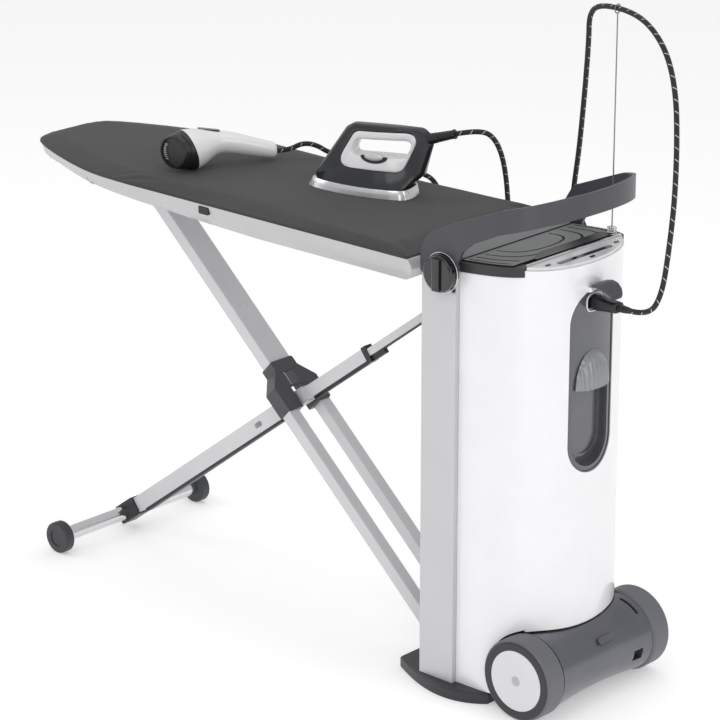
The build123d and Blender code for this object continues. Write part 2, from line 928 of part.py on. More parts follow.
def make_grip():
    # Ribbed finger grip: a hood over the scoop that swells towards its lower lip.
    front = housing_front_x - tank_recess
    points = [
        (front + seat_gap, grip_top_z),
        (front + grip_reach * 0.55, (grip_top_z * 2 + grip_bottom_z) / 3),
        (front + grip_reach, grip_bottom_z + grip_reach / 2),
        (front + grip_reach * 0.8, grip_bottom_z),
        (front + seat_gap, grip_bottom_z),
    ]
    hood = side_prism(points, -grip_half_width, grip_half_width)
    lens_radius = grip_half_width + grip_reach / 2
    centre_z = grip_bottom_z + (grip_top_z - grip_bottom_z) * 0.1
    lens = Pos(front, 0, centre_z) * Rot(0, 90, 0) * Cylinder(lens_radius, grip_reach * 4)
    hood = hood & lens
    hood = hood - bow_solid(column_depth, front + seat_gap, housing_half_width, base_height, panel_top_z)
    return hood


def make_flap():
    # Hinged cover over the socket, held up by the plug.
    hinge = (housing_front_x + flap_pin_out, flap_pin_z)
    pin = side_disc(hinge, flap_pin_radius, -socket_half_width, socket_half_width)
    plane = Plane((hinge[0], 0, hinge[1] - flap_thickness / 2), x_dir=(1, 0, 0), z_dir=(0, 0, 1))
    lid = extrude(plane * Circle(flap_radius), flap_thickness)
    lid = Pos(flap_reach - flap_radius - flap_pin_out, 0, 0) * lid
    neck = block(hinge[0], hinge[0] + flap_radius, -socket_half_width, socket_half_width, hinge[1] - flap_thickness / 2, hinge[1] + flap_thickness / 2)
    ear_end = hinge[0] + flap_pin_radius + flap_thickness / 2 + slot_gap
    lid = lid - block(0, ear_end, -flap_radius * 2, flap_radius * 2, 0, mast_top_z)
    lid = lid + neck
    lid = fillet(lid.edges().group_by(Axis.Z)[-1], flap_thickness / 3)
    flap = Pos(hinge[0], 0, hinge[1]) * Rot(0, flap_tilt, 0) * Pos(-hinge[0], 0, -hinge[1]) * lid
    return flap + pin


def make_flap_bracket():
    hinge = (housing_front_x + flap_pin_out, flap_pin_z)
    ears = []
    for side in (-1, 1):
        low = -socket_half_width - flap_thickness - seat_gap
        ear = block(
            housing_front_x - shell_wall / 2,
            hinge[0],
            low,
            -socket_half_width - seat_gap,
            hinge[1] - flap_pin_radius - flap_thickness / 2,
            hinge[1] + flap_pin_radius,
        )
        ear = ear + side_disc(hinge, flap_pin_radius + flap_thickness / 2, low, -socket_half_width - seat_gap)
        ears.append(at_side(ear, side))
    body = bow_solid(column_depth, housing_front_x - shell_wall / 2, housing_half_width, base_height, panel_top_z)
    bar = block(
        housing_front_x - shell_wall,
        housing_front_x + flap_pin_out - flap_pin_radius - seat_gap,
        -socket_half_width - flap_thickness - seat_gap,
        socket_half_width + flap_thickness + seat_gap,
        hinge[1] - flap_pin_radius - flap_thickness / 2,
        hinge[1] + flap_pin_radius,
    )
    return (ears[0] + ears[1] + bar) - body


plug_front_x = housing_front_x + plug_length


def make_plug():
    back = housing_front_x - socket_depth + seat_gap
    gap = seat_gap
    tongue = block(
        back,
        housing_front_x,
        -socket_half_width + gap,
        socket_half_width - gap,
        socket_z - socket_half_height + gap,
        socket_z + socket_half_height - gap,
    )
    tongue = fillet(tongue.edges().filter_by(Axis.X), socket_half_height / 2)
    shell = block(
        housing_front_x - overrun,
        plug_front_x - plug_neck_length,
        -plug_half_width,
        plug_half_width,
        socket_z - plug_half_height,
        socket_z + plug_half_height,
    )
    shell = fillet(shell.edges().filter_by(Axis.X), plug_half_height / 2)
    start = plug_front_x - plug_neck_length
    neck = Pos((start + plug_front_x) / 2, 0, socket_z) * Rot(0, 90, 0) * Cone(plug_half_height - gap, hose_radius, plug_neck_length)
    return tongue + shell + neck


def helix_path(radius, pitch, turns, centre):
    return Pos(*centre) * Helix(pitch, pitch * turns, radius)


def make_mast_spring():
    start_z = mast_base_z + mast_spring_wire + seat_gap
    path = helix_path(mast_spring_radius, mast_spring_pitch, mast_spring_turns, (mast_x, mast_y, start_z))
    section = Plane(path @ 0, z_dir=path % 0) * Circle(mast_spring_wire)
    return sweep(section, path=path)


def make_mast_recess():
    depth = mast_cup_height + mast_spring_pitch
    recess = Cylinder(mast_spring_radius + mast_spring_wire + seat_gap, depth)
    return Pos(mast_x, mast_y, mast_base_z + depth / 2) * recess


def make_mast():
    # Spring-steel wire that carries the iron's hose, with an eye at its top.
    base = mast_base_z + seat_gap
    stem = Pos(mast_x, mast_y, (base + mast_top_z - mast_ring_radius) / 2)
    stem = stem * Cylinder(mast_wire_radius, mast_top_z - mast_ring_radius - base)
    ring = Pos(mast_x, mast_y, mast_top_z) * Rot(0, 90, 0) * Torus(mast_ring_radius, mast_wire_radius)
    return stem + ring


rear_room = hinge_x - rear_block / 2
plate_top_z = rim_top_z
plate_bottom_z = rim_top_z - plate_thickness


def rear_trim():
    # Everything behind the hinge stays inside a circle about the pin, so the board can turn.
    span = board_half_width + overrun
    trim = block(hinge_x, overrun * 2, -span, span, rim_bottom_z - overrun, cover_top_z + overrun)
    return trim - side_disc((hinge_x, hinge_z), cover_top_z - hinge_z, -span, span)


def rim_loft(inset, rear, z_low, z_high):
    slope = rim_draft / (rim_top_z - rim_bottom_z)
    low = board_face(inset + (rim_top_z - z_low) * slope, rear, z_low)
    high = board_face(inset + (rim_top_z - z_high) * slope, rear, z_high)
    return loft([low, high])


def ear_solids(y_low, y_high, centre, radius, arm_points):
    arm = side_prism(arm_points, y_low, y_high)
    return arm + side_disc(centre, radius, y_low, y_high)


def make_rim():
    outer = rim_loft(rim_inset, board_rear_x, rim_bottom_z, rim_top_z)
    inner = rim_loft(rim_inset + rim_wall, rear_room, rim_bottom_z - overrun, plate_bottom_z)
    rim = outer - inner - rear_trim()
    nose_wedge = side_prism(
        [
            (board_nose_x - overrun, rim_bottom_z - overrun),
            (top_pivot[0], rim_bottom_z - overrun),
            (top_pivot[0], rim_bottom_z),
            (board_nose_x - overrun, rim_bottom_z + rim_nose_rise),
        ],
        -board_half_width,
        board_half_width,
    )
    rim = rim - nose_wedge
    hinge = (hinge_x, hinge_z)
    for side in (-1, 1):
        centre = -lug_y
        pocket = block(
            hinge_x - pocket_reach,
            overrun,
            centre - pocket_half_width,
            centre + pocket_half_width,
            rim_bottom_z - overrun,
            hinge_z + pocket_reach,
        )
        lug = block(
            hinge_x - pocket_reach - overrun,
            overrun,
            centre - lug_half_width,
            centre + lug_half_width,
            rim_bottom_z - overrun * 2,
            hinge_z + pocket_reach + overrun,
        )
        bore = side_disc(hinge, hinge_pin_radius + running_gap, centre - pocket_half_width, centre + pocket_half_width)
        rim = rim - at_side((pocket - lug) + bore, side)
    latch = block(
        catch_x - catch_width / 2,
        catch_x + catch_width / 2,
        -board_half_width,
        -board_half_width + rim_inset + rim_draft + rim_wall,
        catch_z - catch_height / 2,
        catch_z + catch_height / 2,
    )
    notch_half = profile_half_width + slot_gap
    notch = block(rear_room - overrun, overrun, -notch_half, notch_half, rim_bottom_z - overrun, rim_bottom_z + leg_notch_height)
    return rim - latch - notch


def make_catch():
    # Small latch let into the near side of the rim.
    gap = seat_gap
    body = block(
        catch_x - catch_width / 2 + gap,
        catch_x + catch_width / 2 - gap,
        -board_half_width + rim_inset,
        -board_half_width + rim_inset + catch_depth * 2,
        catch_z - catch_height / 2 + gap,
        catch_z + catch_height / 2 - gap,
    )
    face = fillet(body.edges().filter_by(Axis.Y), catch_depth / 3)
    return face


def make_rails():
    rails = []
    top = plate_bottom_z - seat_gap
    for side in (-1, 1):
        rail = block(rail_start_x, rail_end_x, -rail_y - rail_half_width, -rail_y + rail_half_width, top - rail_height - brace_height, top)
        groove = block(
            rail_start_x - overrun,
            rail_end_x + overrun,
            -rail_y - rail_half_width / 2,
            -rail_y + rail_half_width + overrun,
            top - rail_height,
            top - brace_height / 2,
        )
        rails.append(at_side(rail - groove, side))
    return Compound(rails)


def make_cover():
    # Padded cover, its upper edge eased in three steps.
    edge = cover_edge
    low = cover_bottom_z
    high = cover_top_z
    steps = [(0, low), (0, high - edge), (edge * 0.3, high - edge * 0.3), (edge, high)]
    cover = None
    for (inset_low, z_low), (inset_high, z_high) in zip(steps, steps[1:]):
        faces = [board_face(inset_low, board_rear_x, z_low), board_face(inset_high, board_rear_x, z_high)]
        layer = loft(faces)
        cover = layer if cover is None else cover + layer
    return cover - rear_trim()


def make_slider():
    # Sliding block that carries the upper end of the crossed legs.
    top = plate_bottom_z - seat_gap - slot_gap
    x, z = top_pivot
    length = rail_height * 2
    inner = channel_half_width + ear_gap
    outer = rail_y - rail_half_width - seat_gap
    parts = block(x - length, x + length, -outer, outer, top - brace_height, top)
    for side in (-1, 1):
        cheek = side_prism(
            [(x - length / 2, top), (x + length / 2, top), (x + leg_a_half_depth, z), (x - leg_a_half_depth, z)],
            -outer,
            -inner,
        )
        cheek = cheek + side_disc(top_pivot, leg_a_half_depth, -outer, -inner)
        runner = block(
            x - length,
            x + length,
            -rail_y,
            -outer + overrun / 2,
            plate_bottom_z - seat_gap - rail_height + seat_gap,
            plate_bottom_z - seat_gap - brace_height / 2 - seat_gap,
        )
        parts = parts + at_side(cheek + runner, side)
    pin = side_disc(top_pivot, hinge_pin_radius, -outer, outer)
    return parts + pin


def make_carriage():
    back = -carriage_gap
    front = back - carriage_thickness
    plate = block(front, back, -carriage_half_width, carriage_half_width, carriage_bottom_z, carriage_top_z)
    mouth = block(
        front - overrun,
        back + overrun,
        -clevis_half_gap,
        clevis_half_gap,
        carriage_bottom_z - overrun,
        carriage_pivot[1] + clevis_radius * 4,
    )
    plate = fillet(plate.edges().filter_by(Axis.X), carriage_thickness) - mouth
    low = carriage_top_z - (hinge_z - carriage_top_z)
    elbow = carriage_pivot[1] + clevis_radius * 2
    reach = hinge_x + hinge_ear_radius
    arm = [
        (hinge_x - hinge_ear_radius, hinge_z),
        (reach, hinge_z),
        (reach, carriage_top_z + seat_gap),
        (front + carriage_thickness / 2, low + overrun * 2),
        (front + carriage_thickness / 2, elbow - clevis_radius),
        (hinge_x - hinge_ear_radius, elbow + clevis_radius),
    ]
    hinge = (hinge_x, hinge_z)
    x, z = carriage_pivot
    lower_arm = [
        (x, z + clevis_radius),
        (x, z - clevis_radius),
        (front + carriage_thickness / 2, z - clevis_radius * 2),
        (front + carriage_thickness / 2, z + clevis_radius * 3),
    ]
    for side in (-1, 1):
        inner = -lug_y + lug_half_width + ear_gap
        outer = -lug_y - lug_half_width - ear_gap
        width = ear_half_width * 2
        ears = ear_solids(inner, inner + width, hinge, hinge_ear_radius, arm)
        ears = ears + ear_solids(outer - width, outer, hinge, hinge_ear_radius, arm)
        ears = ears + side_disc(hinge, hinge_pin_radius, outer - width, inner + width)
        fork = ear_solids(
            -clevis_half_gap - clevis_thickness,
            -clevis_half_gap,
            carriage_pivot,
            clevis_radius,
            lower_arm,
        )
        bore = side_disc(carriage_pivot, hinge_pin_radius, -clevis_half_gap - clevis_thickness - overrun, -clevis_half_gap + overrun)
        tongue_half = slot_width / 2 - seat_gap * 2
        tongue = block(
            back - overrun / 5,
            sheet_wall + shoe_thickness,
            -slot_centre_y - tongue_half,
            -slot_centre_y + tongue_half,
            carriage_bottom_z + overrun * 2,
            carriage_top_z - overrun,
        )
        shoe = block(
            sheet_wall + seat_gap * 2,
            sheet_wall + shoe_thickness,
            -slot_centre_y - shoe_half_width,
            -slot_centre_y + shoe_half_width,
            carriage_bottom_z + overrun * 2,
            carriage_top_z - overrun,
        )
        plate = plate + at_side(ears, side) + at_side(fork - bore, side) + at_side(tongue + shoe, side)
    return plate


def make_leg_bracket():
    # Channel on the base plate with two lugs that reach out to the lower pivot.
    low_x = carriage_pivot[0] - overrun
    top = base_height + sheet_wall * 2
    outer = rail_inner_y - seat_gap
    inner = outer - sheet_wall * 2
    bracket = block(low_x, hinge_x, -outer, outer, base_height - seat_gap, top)
    x, z = foot_pivot
    lug_points = [(hinge_x, top - sheet_wall), (hinge_x, z), (x, z + clevis_radius), (x, z - clevis_radius), (low_x, top - sheet_wall)]
    for side in (-1, 1):
        lug = ear_solids(-outer, -inner, foot_pivot, clevis_radius, lug_points)
        lug = lug - side_disc(foot_pivot, hinge_pin_radius, -outer - overrun, -inner + overrun)
        bracket = bracket + at_side(lug, side)
    return bracket


def between(start, end):
    return math.atan2(end[1] - start[1], end[0] - start[0])


leg_a_turn = between(foot_pivot, hub_pivot)
leg_a_length = math.dist(hub_pivot, foot_pivot)
leg_a_top = (hub_pivot[0] - top_pivot[0]) * math.cos(leg_a_turn) + (hub_pivot[1] - top_pivot[1]) * math.sin(leg_a_turn)
leg_a_lift = (top_pivot[0] - hub_pivot[0]) * math.sin(leg_a_turn) - (top_pivot[1] - hub_pivot[1]) * math.cos(leg_a_turn)
leg_a_plane = Plane(
    (hub_pivot[0], 0, hub_pivot[1]),
    x_dir=(-math.cos(leg_a_turn), 0, -math.sin(leg_a_turn)),
    z_dir=(math.sin(leg_a_turn), 0, -math.cos(leg_a_turn)),
)
leg_b_turn = between(foot_bar, carriage_pivot)
leg_b_length = math.dist(foot_bar, carriage_pivot)
leg_b_plane = Plane(
    (foot_bar[0], 0, foot_bar[1]),
    x_dir=(math.cos(leg_b_turn), 0, math.sin(leg_b_turn)),
    z_dir=(-math.sin(leg_b_turn), 0, math.cos(leg_b_turn)),
)
hub_along = (hub_pivot[0] - foot_bar[0]) * math.cos(leg_b_turn) + (hub_pivot[1] - foot_bar[1]) * math.sin(leg_b_turn)
hub_across = (hub_pivot[1] - foot_bar[1]) * math.cos(leg_b_turn) - (hub_pivot[0] - foot_bar[0]) * math.sin(leg_b_turn)


def on_leg_a(shape):
    return leg_a_plane.location * shape


def on_leg_b(shape):
    return leg_b_plane.location * shape


def make_channel():
    depth = leg_a_half_depth
    start = leg_a_top - depth
    outer = block(start, channel_end, -channel_half_width, channel_half_width, -depth, depth)
    outer = fillet(outer.edges().filter_by(Axis.X), sheet_wall)
    inner_half = channel_half_width - sheet_wall
    inner = block(start - overrun, channel_end + overrun, -inner_half, inner_half, -depth - overrun, depth - sheet_wall)
    channel = outer - inner
    bore = side_disc((leg_a_top, leg_a_lift), hinge_pin_radius + running_gap, -channel_half_width * 2, channel_half_width * 2)
    channel = channel - bore
    for s, y in rivet_spots:
        channel = channel + Pos(s, y, depth) * Cylinder(rivet_radius, rivet_height * 2)
    return on_leg_a(channel)


rivet_spots = [(-222.0, -12.0), (-222.0, 12.0), (-150.0, -12.0), (-150.0, 12.0)]


def make_hub():
    # Forked knuckle: it holds the channel above, the two rails below and the pivot between.
    wide = hub_half_width
    neck = hub_neck_half_width
    shoulder = channel_end - (channel_end - window_end) * 0.9
    plan = [
        (hub_start, -neck),
        (channel_end, -neck),
        (shoulder, -wide),
        (hub_end, -wide),
        (hub_end, wide),
        (shoulder, wide),
        (channel_end, neck),
        (hub_start, neck),
    ]
    outline = FilletPolyline(*[(s, y, -hub_face) for s, y in plan], radius=leg_a_half_depth / 3, close=True)
    hub = extrude(make_face(outline), hub_face * 2, dir=(0, 0, 1))
    gap = seat_gap
    depth = leg_a_half_depth + gap
    hub = hub - block(
        hub_start - overrun,
        channel_end + gap,
        -channel_half_width - gap,
        channel_half_width + gap,
        -depth,
        depth,
    )
    slot = hub_gap_half_width
    hub = hub - block(hub_start - overrun, hub_end + overrun, -slot, slot, -hub_face - overrun, depth)
    hub = hub - block(window_end + overrun, hub_end + overrun, -slot, slot, -hub_face - overrun, hub_face + overrun)
    window = block(window_start, window_end, -window_half_width, window_half_width, 0, hub_face + overrun)
    hub = hub - window
    rail_start = -slot - gap
    for side in (-1, 1):
        pocket = block(rail_start, hub_end + overrun, -rail_outer_y - gap, -rail_inner_y + gap, -depth, depth)
        hub = hub - at_side(pocket, side)
    pin = side_disc((0, 0), hub_pin_radius, -rail_inner_y + gap, rail_inner_y - gap)
    return on_leg_a(hub + pin)


def make_rail(side):
    depth = leg_a_half_depth
    rail = block(-hub_gap_half_width, leg_a_length, -rail_outer_y, -rail_inner_y, -depth, depth)
    rail = fillet(rail.edges().filter_by(Axis.X), sheet_wall)
    rail = rail + side_disc((leg_a_length, 0), depth, -rail_outer_y, -rail_inner_y)
    rail = rail - side_disc((leg_a_length, 0), hinge_pin_radius, -rail_outer_y - overrun, -rail_inner_y + overrun)
    return on_leg_a(at_side(rail, side))


clamp_reach = 44.0
plank_start = 20.0
clamp_half_width = 17.0
clamp_half_depth = 20.0
slot_hole_at = 497.0
slot_hole_length = 24.0
slot_hole_width = 11.0
cap_end = 866.0
hook_end = 905.0


def pivot_bore(half_width):
    return side_disc((hub_along, hub_across), hub_pin_radius + running_gap, -half_width * 2, half_width * 2)


def make_plank():
    plank = block(plank_start, plank_end, -plank_half_width, plank_half_width, -plank_half_depth, plank_half_depth)
    plank = fillet(plank.edges().filter_by(Axis.X), sheet_wall)
    room = block(
        sleeve_start - seat_gap,
        plank_end + overrun,
        -sleeve_half_width - seat_gap,
        sleeve_half_width + seat_gap,
        -sleeve_half_depth - seat_gap,
        sleeve_half_depth + seat_gap,
    )
    plane = Plane((slot_hole_at, -plank_half_width * 2, 0), x_dir=(1, 0, 0), z_dir=(0, 1, 0))
    hole = extrude(plane * SlotOverall(slot_hole_length, slot_hole_width), plank_half_width * 4)
    return on_leg_b(plank - room - hole - pivot_bore(plank_half_width))


def make_sleeve():
    sleeve = block(sleeve_start, sleeve_end, -sleeve_half_width, sleeve_half_width, -sleeve_half_depth, sleeve_half_depth)
    sleeve = fillet(sleeve.edges().filter_by(Axis.X), sheet_wall / 2)
    room = block(
        profile_start - seat_gap,
        sleeve_end + overrun,
        -profile_half_width - seat_gap,
        profile_half_width + seat_gap,
        -profile_half_depth - seat_gap,
        profile_half_depth + seat_gap,
    )
    return on_leg_b(sleeve - room - pivot_bore(plank_half_width))


def make_profile():
    half = profile_half_depth
    profile = block(profile_start, leg_b_length, -profile_half_width, profile_half_width, -half, half)
    profile = fillet(profile.edges().filter_by(Axis.X), sheet_wall / 2)
    end = side_disc((leg_b_length, 0), half, -profile_half_width, profile_half_width)
    eye = side_disc((leg_b_length, 0), half / 2, -profile_half_width * 2, profile_half_width * 2)
    return on_leg_b(profile + end - eye)


def make_sleeve_cap():
    gap = seat_gap
    cap = block(
        sleeve_end + gap,
        cap_end,
        -sleeve_half_width,
        sleeve_half_width,
        -sleeve_half_depth - stay_depth,
        sleeve_half_depth + rivet_height * 2,
    )
    room = block(
        sleeve_end - overrun,
        hook_end + overrun,
        -profile_half_width - gap,
        profile_half_width + gap,
        -profile_half_depth - gap,
        profile_half_depth + gap,
    )
    stay = block(
        plank_end + plank_half_depth,
        sleeve_end + slot_gap,
        -stay_half_width,
        stay_half_width,
        -sleeve_half_depth - stay_depth,
        -sleeve_half_depth - gap,
    )
    hook = block(
        cap_end - overrun / 2,
        hook_end,
        -stay_half_width,
        stay_half_width,
        -sleeve_half_depth - stay_depth,
        -sleeve_half_depth + stay_depth / 2,
    )
    return on_leg_b((cap - room) + (hook - room) + stay)


def make_clamp():
    gap = seat_gap
    start = -foot_tube_radius - sheet_wall * 2
    clamp = block(start, clamp_reach, -clamp_half_width, clamp_half_width, -clamp_half_depth, clamp_half_depth)
    clamp = fillet(clamp.edges().filter_by(Axis.Y), sheet_wall * 3)
    room = block(
        plank_start - gap,
        clamp_reach + overrun,
        -plank_half_width - gap,
        plank_half_width + gap,
        -plank_half_depth - gap,
        plank_half_depth + gap,
    )
    bore = side_disc((0, 0), foot_tube_radius + gap, -clamp_half_width * 2, clamp_half_width * 2)
    return on_leg_b(clamp - room - bore)


def make_foot_tube():
    half = roller_y - roller_width / 2 - slot_gap
    tube = side_disc(foot_bar, foot_tube_radius, -half, half)
    stub = side_disc(foot_bar, roller_axle_radius, -roller_y - roller_width / 4, roller_y + roller_width / 4)
    return tube + stub


def make_roller(side):
    low = -roller_y - roller_width / 2
    roller = side_disc(foot_bar, roller_radius, low, low + roller_width)
    roller = fillet(roller.edges().filter_by(GeomType.CIRCLE), sheet_wall * 2)
    dish = side_disc(foot_bar, roller_radius * 0.55, low - overrun, low + sheet_wall)
    bore = side_disc(foot_bar, roller_axle_radius + running_gap, -roller_y - roller_width / 4 - slot_gap, low + roller_width + overrun)
    return at_side(roller - dish - bore, side)


iron_base_z = cover_top_z + seat_gap
iron_rad = math.radians(iron_turn)
iron_plane = Plane(
    (iron_rear[0], iron_rear[1], iron_base_z),
    x_dir=(math.cos(iron_rad), math.sin(iron_rad), 0),
    z_dir=(0, 0, 1),
)


def on_iron(shape):
    return iron_plane.location * shape


def iron_face(share, tip, z):
    # Plan of the iron: pointed nose, fullest behind the middle.
    near = [(tip, 0, z)] + [(t, -half * share, z) for t, half in iron_outline]
    far = [(t, -y, z) for t, y, z in near]
    close = Line(near[-1], far[-1])
    return make_face(Spline(*near) + close + Spline(*far))


def iron_plan(share):
    # Stacked lofts: full width at the sole, a waist under the grip, narrow at the top.
    tip = iron_tip * share
    foot = iron_face(share, tip, iron_sole_height + seat_gap)
    waist = iron_face(iron_waist_share * share, tip, iron_waist_z)
    top = iron_face(iron_top_share * share, tip, iron_height + overrun)
    return loft([foot, waist]) + loft([waist, top])


def iron_loft(low_share, high_share, z_low, z_high):
    return loft([iron_face(low_share, iron_tip * low_share, z_low), iron_face(high_share, iron_tip * low_share, z_high)])


def rounded_prism(points, half_width, radius):
    outline = FilletPolyline(*[(x, -half_width, z) for x, z in points], radius=radius, close=True)
    return extrude(make_face(outline), half_width * 2, dir=(0, 1, 0))


def make_iron_sole():
    sole = iron_loft(0.96, 1.0, 0, iron_sole_height)
    return on_iron(sole)


def iron_button_solid(growth, y_low, y_high):
    plane = Plane((iron_button_at[0], y_low, iron_button_at[1]), x_dir=(1, 0, 0), z_dir=(0, 1, 0))
    oval = SlotOverall(iron_button_length + growth * 2, iron_button_height + growth * 2)
    return extrude(plane * oval, y_high - y_low)


def sleeve_solid(growth):
    start = Vector(sleeve_root[0], 0, sleeve_root[1])
    end = Vector(sleeve_tip[0], 0, sleeve_tip[1])
    way = end - start
    plane = Plane(start, z_dir=way)
    cone = Cone(sleeve_root_radius + growth, sleeve_tip_radius + growth, way.length)
    return plane.location * Pos(0, 0, way.length / 2) * cone


def iron_envelope():
    # Outer form of the iron above its sole.
    plan = iron_plan(0.99)
    back = rounded_prism(iron_profile, iron_handle_reach, iron_corner)
    half = iron_tail_half_width
    tail_end = iron_profile[5][0] + overrun
    tail = block(-half, tail_end, -half, half, iron_sole_height + seat_gap, iron_height + overrun)
    return (plan + tail) & back


iron_handle_reach = 60.0
iron_tail_half_width = 17.0


def make_iron_body():
    body = iron_envelope()
    body = body - rounded_prism(grow_profile(frame_profile, seat_gap), iron_handle_reach, iron_corner)
    body = body - sleeve_solid(seat_gap)
    return on_iron(body)


def grow_profile(points, growth):
    middle_x = sum(x for x, z in points) / len(points)
    middle_z = sum(z for x, z in points) / len(points)
    grown = []
    for x, z in points:
        grown.append((x + math.copysign(growth, x - middle_x), z + math.copysign(growth, z - middle_z)))
    return grown


def make_iron_frame():
    frame = rounded_prism(frame_profile, iron_handle_reach, iron_corner)
    plan = iron_plan(0.96)
    half = iron_tail_half_width - frame_inset
    tail = block(-half, iron_profile[5][0] + overrun, -half, half, iron_sole_height, iron_height)
    frame = frame & (plan + tail)
    hole = rounded_prism(grip_profile, iron_handle_reach, iron_corner)
    frame = frame - hole
    frame = frame - iron_button_solid(moving_gap, -iron_handle_reach, -iron_button_depth)
    return on_iron(frame)


iron_button_depth = 12.0
iron_button_face = 27.0


def make_iron_button():
    return on_iron(iron_button_solid(0, -iron_button_face, -iron_button_depth - iron_button_travel - seat_gap))


def make_iron_sleeve():
    return on_iron(sleeve_solid(0))


heading = math.radians(steamer_heading)


def steamer_point(along, z):
    return Vector(steamer_end[0] + along * math.cos(heading), steamer_end[1] + along * math.sin(heading), z)


def steamer_way(dip):
    # Level along the steamer's plane, tilted down by dip degrees.
    drop = math.radians(dip)
    return Vector(math.cos(heading) * math.cos(drop), math.sin(heading) * math.cos(drop), -math.sin(drop))


steamer_across = Vector(-math.sin(heading), math.cos(heading), 0)


def steamer_disc(section, shrink, shift):
    # Round face across the steamer, moved along its own axis by shift.
    along, z, radius, dip = section
    way = steamer_way(dip)
    plane = Plane(steamer_point(along, z) + way * shift, x_dir=steamer_across, z_dir=way)
    return plane * Circle(radius - shrink)


def make_steamer_head():
    lip = steamer_disc(steamer_face, comb_height, -comb_height)
    face = steamer_disc(steamer_face, 0, 0)
    base = steamer_disc(steamer_base, 0, -seat_gap)
    head = loft([lip, face]) + loft([face, base])
    plane = Plane(steamer_point(*steamer_face[:2]), x_dir=steamer_across, z_dir=steamer_way(steamer_face[3]))
    for place in PolarLocations(steamer_face[2] * 0.66, comb_count):
        tooth = place * Cylinder(comb_radius, comb_height * 4)
        head = head + plane.location * tooth
    return head - steamer_floor()


def steamer_floor():
    # The steamer lies on its widest edge, cut flat there by a hair.
    return block(board_nose_x, 0, -board_half_width, board_half_width, 0, iron_base_z)


def trigger_solid(growth, low, high):
    way = steamer_way(trigger_tilt)
    normal = way.cross(steamer_across)
    plane = Plane(steamer_point(*trigger_at) + normal * low, x_dir=way, z_dir=normal)
    oval = SlotOverall(trigger_length + growth * 2, trigger_width + growth * 2)
    return extrude(plane * oval, high - low)


def make_steamer_body():
    sections = [steamer_disc(steamer_base, 0, 0)] + [steamer_disc(section, 0, 0) for section in steamer_sections]
    body = loft(sections)
    body = fillet(body.edges().group_by(Axis.Y)[-1], steamer_end_radius)
    return body - trigger_solid(moving_gap, -trigger_sink, trigger_sink * 2) - steamer_floor()


def make_trigger():
    return trigger_solid(0, trigger_travel + moving_gap - trigger_sink, trigger_proud)


def corner_turn(before, corner, after):
    first = Vector(*corner) - Vector(*before)
    second = Vector(*after) - Vector(*corner)
    return math.radians(first.get_angle(second))


def corner_radii(points):
    # Every corner takes its share of the shorter run beside it.
    radii = []
    for before, corner, after in zip(points, points[1:], points[2:]):
        run = min(math.dist(before, corner), math.dist(corner, after))
        radii.append(bend_share * run / math.tan(corner_turn(before, corner, after) / 2))
    return radii


def round_hose(points, radii):
    path = FilletPolyline(*points, radius=radii)
    section = Plane(path @ 0, z_dir=path % 0) * Circle(hose_radius)
    tube = sweep(section, path=path)
    area = math.pi * hose_radius**2
    share = tube.volume / (area * path.length)
    print("hose length", round(path.length), "least radius", round(min(radii), 1), "volume share", round(share, 4))
    return tube


def make_iron_hose():
    tip = iron_plane.from_local_coords(Vector(sleeve_tip[0], 0, sleeve_tip[1]))
    back = iron_plane.from_local_coords(Vector(sleeve_root[0], 0, sleeve_root[1]))
    way = (tip - back).normalized()
    start = tip + way * seat_gap
    points = [tuple(start)] + iron_hose_route + [(plug_front_x + seat_gap, 0, socket_z)]
    first = start + way * iron_hose_first_run
    points[1] = tuple(first)
    return round_hose(points, corner_radii(points))


iron_hose_first_run = 42.0


def make_steamer_hose():
    start = Vector(*steamer_end)
    points = [tuple(start)] + steamer_hose_route
    lead = coil_start()
    points.append((points[-1][0], points[-1][1], coil_z))
    points.append((lead[0] + seat_gap, lead[1], coil_z))
    points[1] = tuple(start + steamer_way(steamer_hose_dip) * math.dist(start, points[1]))
    radii = corner_radii(points)
    radii[-1] = coil_lead_run - hose_end_straight
    return round_hose(points, radii)


def coil_start():
    # The lead-in quarter turn is tighter than the first loop, on a centre moved towards it.
    lead_x = coil_centre[0] - coil_inner_radius + coil_lead_radius
    return (lead_x, coil_centre[1] + coil_lead_radius, coil_z)


def coil_arcs():
    # Centre, radius, first angle and sweep of every arc of the coil, in degrees.
    step = coil_pitch / 2
    start = coil_start()
    arcs = [((start[0], coil_centre[1]), coil_lead_radius, 90, 90)]
    centre_x = coil_centre[0]
    radius = coil_inner_radius
    for turn in range(coil_half_turns):
        arcs.append(((centre_x, coil_centre[1]), radius, 180 * (turn + 1), 180))
        centre_x = centre_x + step if turn % 2 else centre_x - step
        radius = radius + step
    return arcs


def coil_points(per_arc):
    points = []
    for centre, radius, first, swept in coil_arcs():
        for number in range(per_arc):
            angle = math.radians(first + swept * number / per_arc)
            points.append((centre[0] + radius * math.cos(angle), centre[1] + radius * math.sin(angle)))
    return points


def arc_at(centre, radius, first, swept):
    points = []
    for share in (0, 0.5, 1):
        angle = math.radians(first + swept * share)
        points.append((centre[0] + radius * math.cos(angle), centre[1] + radius * math.sin(angle), coil_z))
    return ThreePointArc(*points)


def make_coil():
    edges = [arc_at(*arc) for arc in coil_arcs()]
    wire = Wire(edges)
    end = wire @ 1
    tail = Line(end, end + (wire % 1) * hose_end_straight)
    path = Wire(edges + [tail])
    section = Plane(path @ 0, z_dir=path % 0) * Circle(hose_radius)
    coil = sweep(section, path=path)
    points = coil_points(36)
    least = min(
        math.dist(points[i], points[j])
        for i in range(len(points))
        for j in range(i + 24, len(points))
    )
    print("coil length", round(path.length), "least gap", round(least - hose_radius * 2, 2))
    print("coil volume share", round(coil.volume / (math.pi * hose_radius**2 * path.length), 4))
    return coil


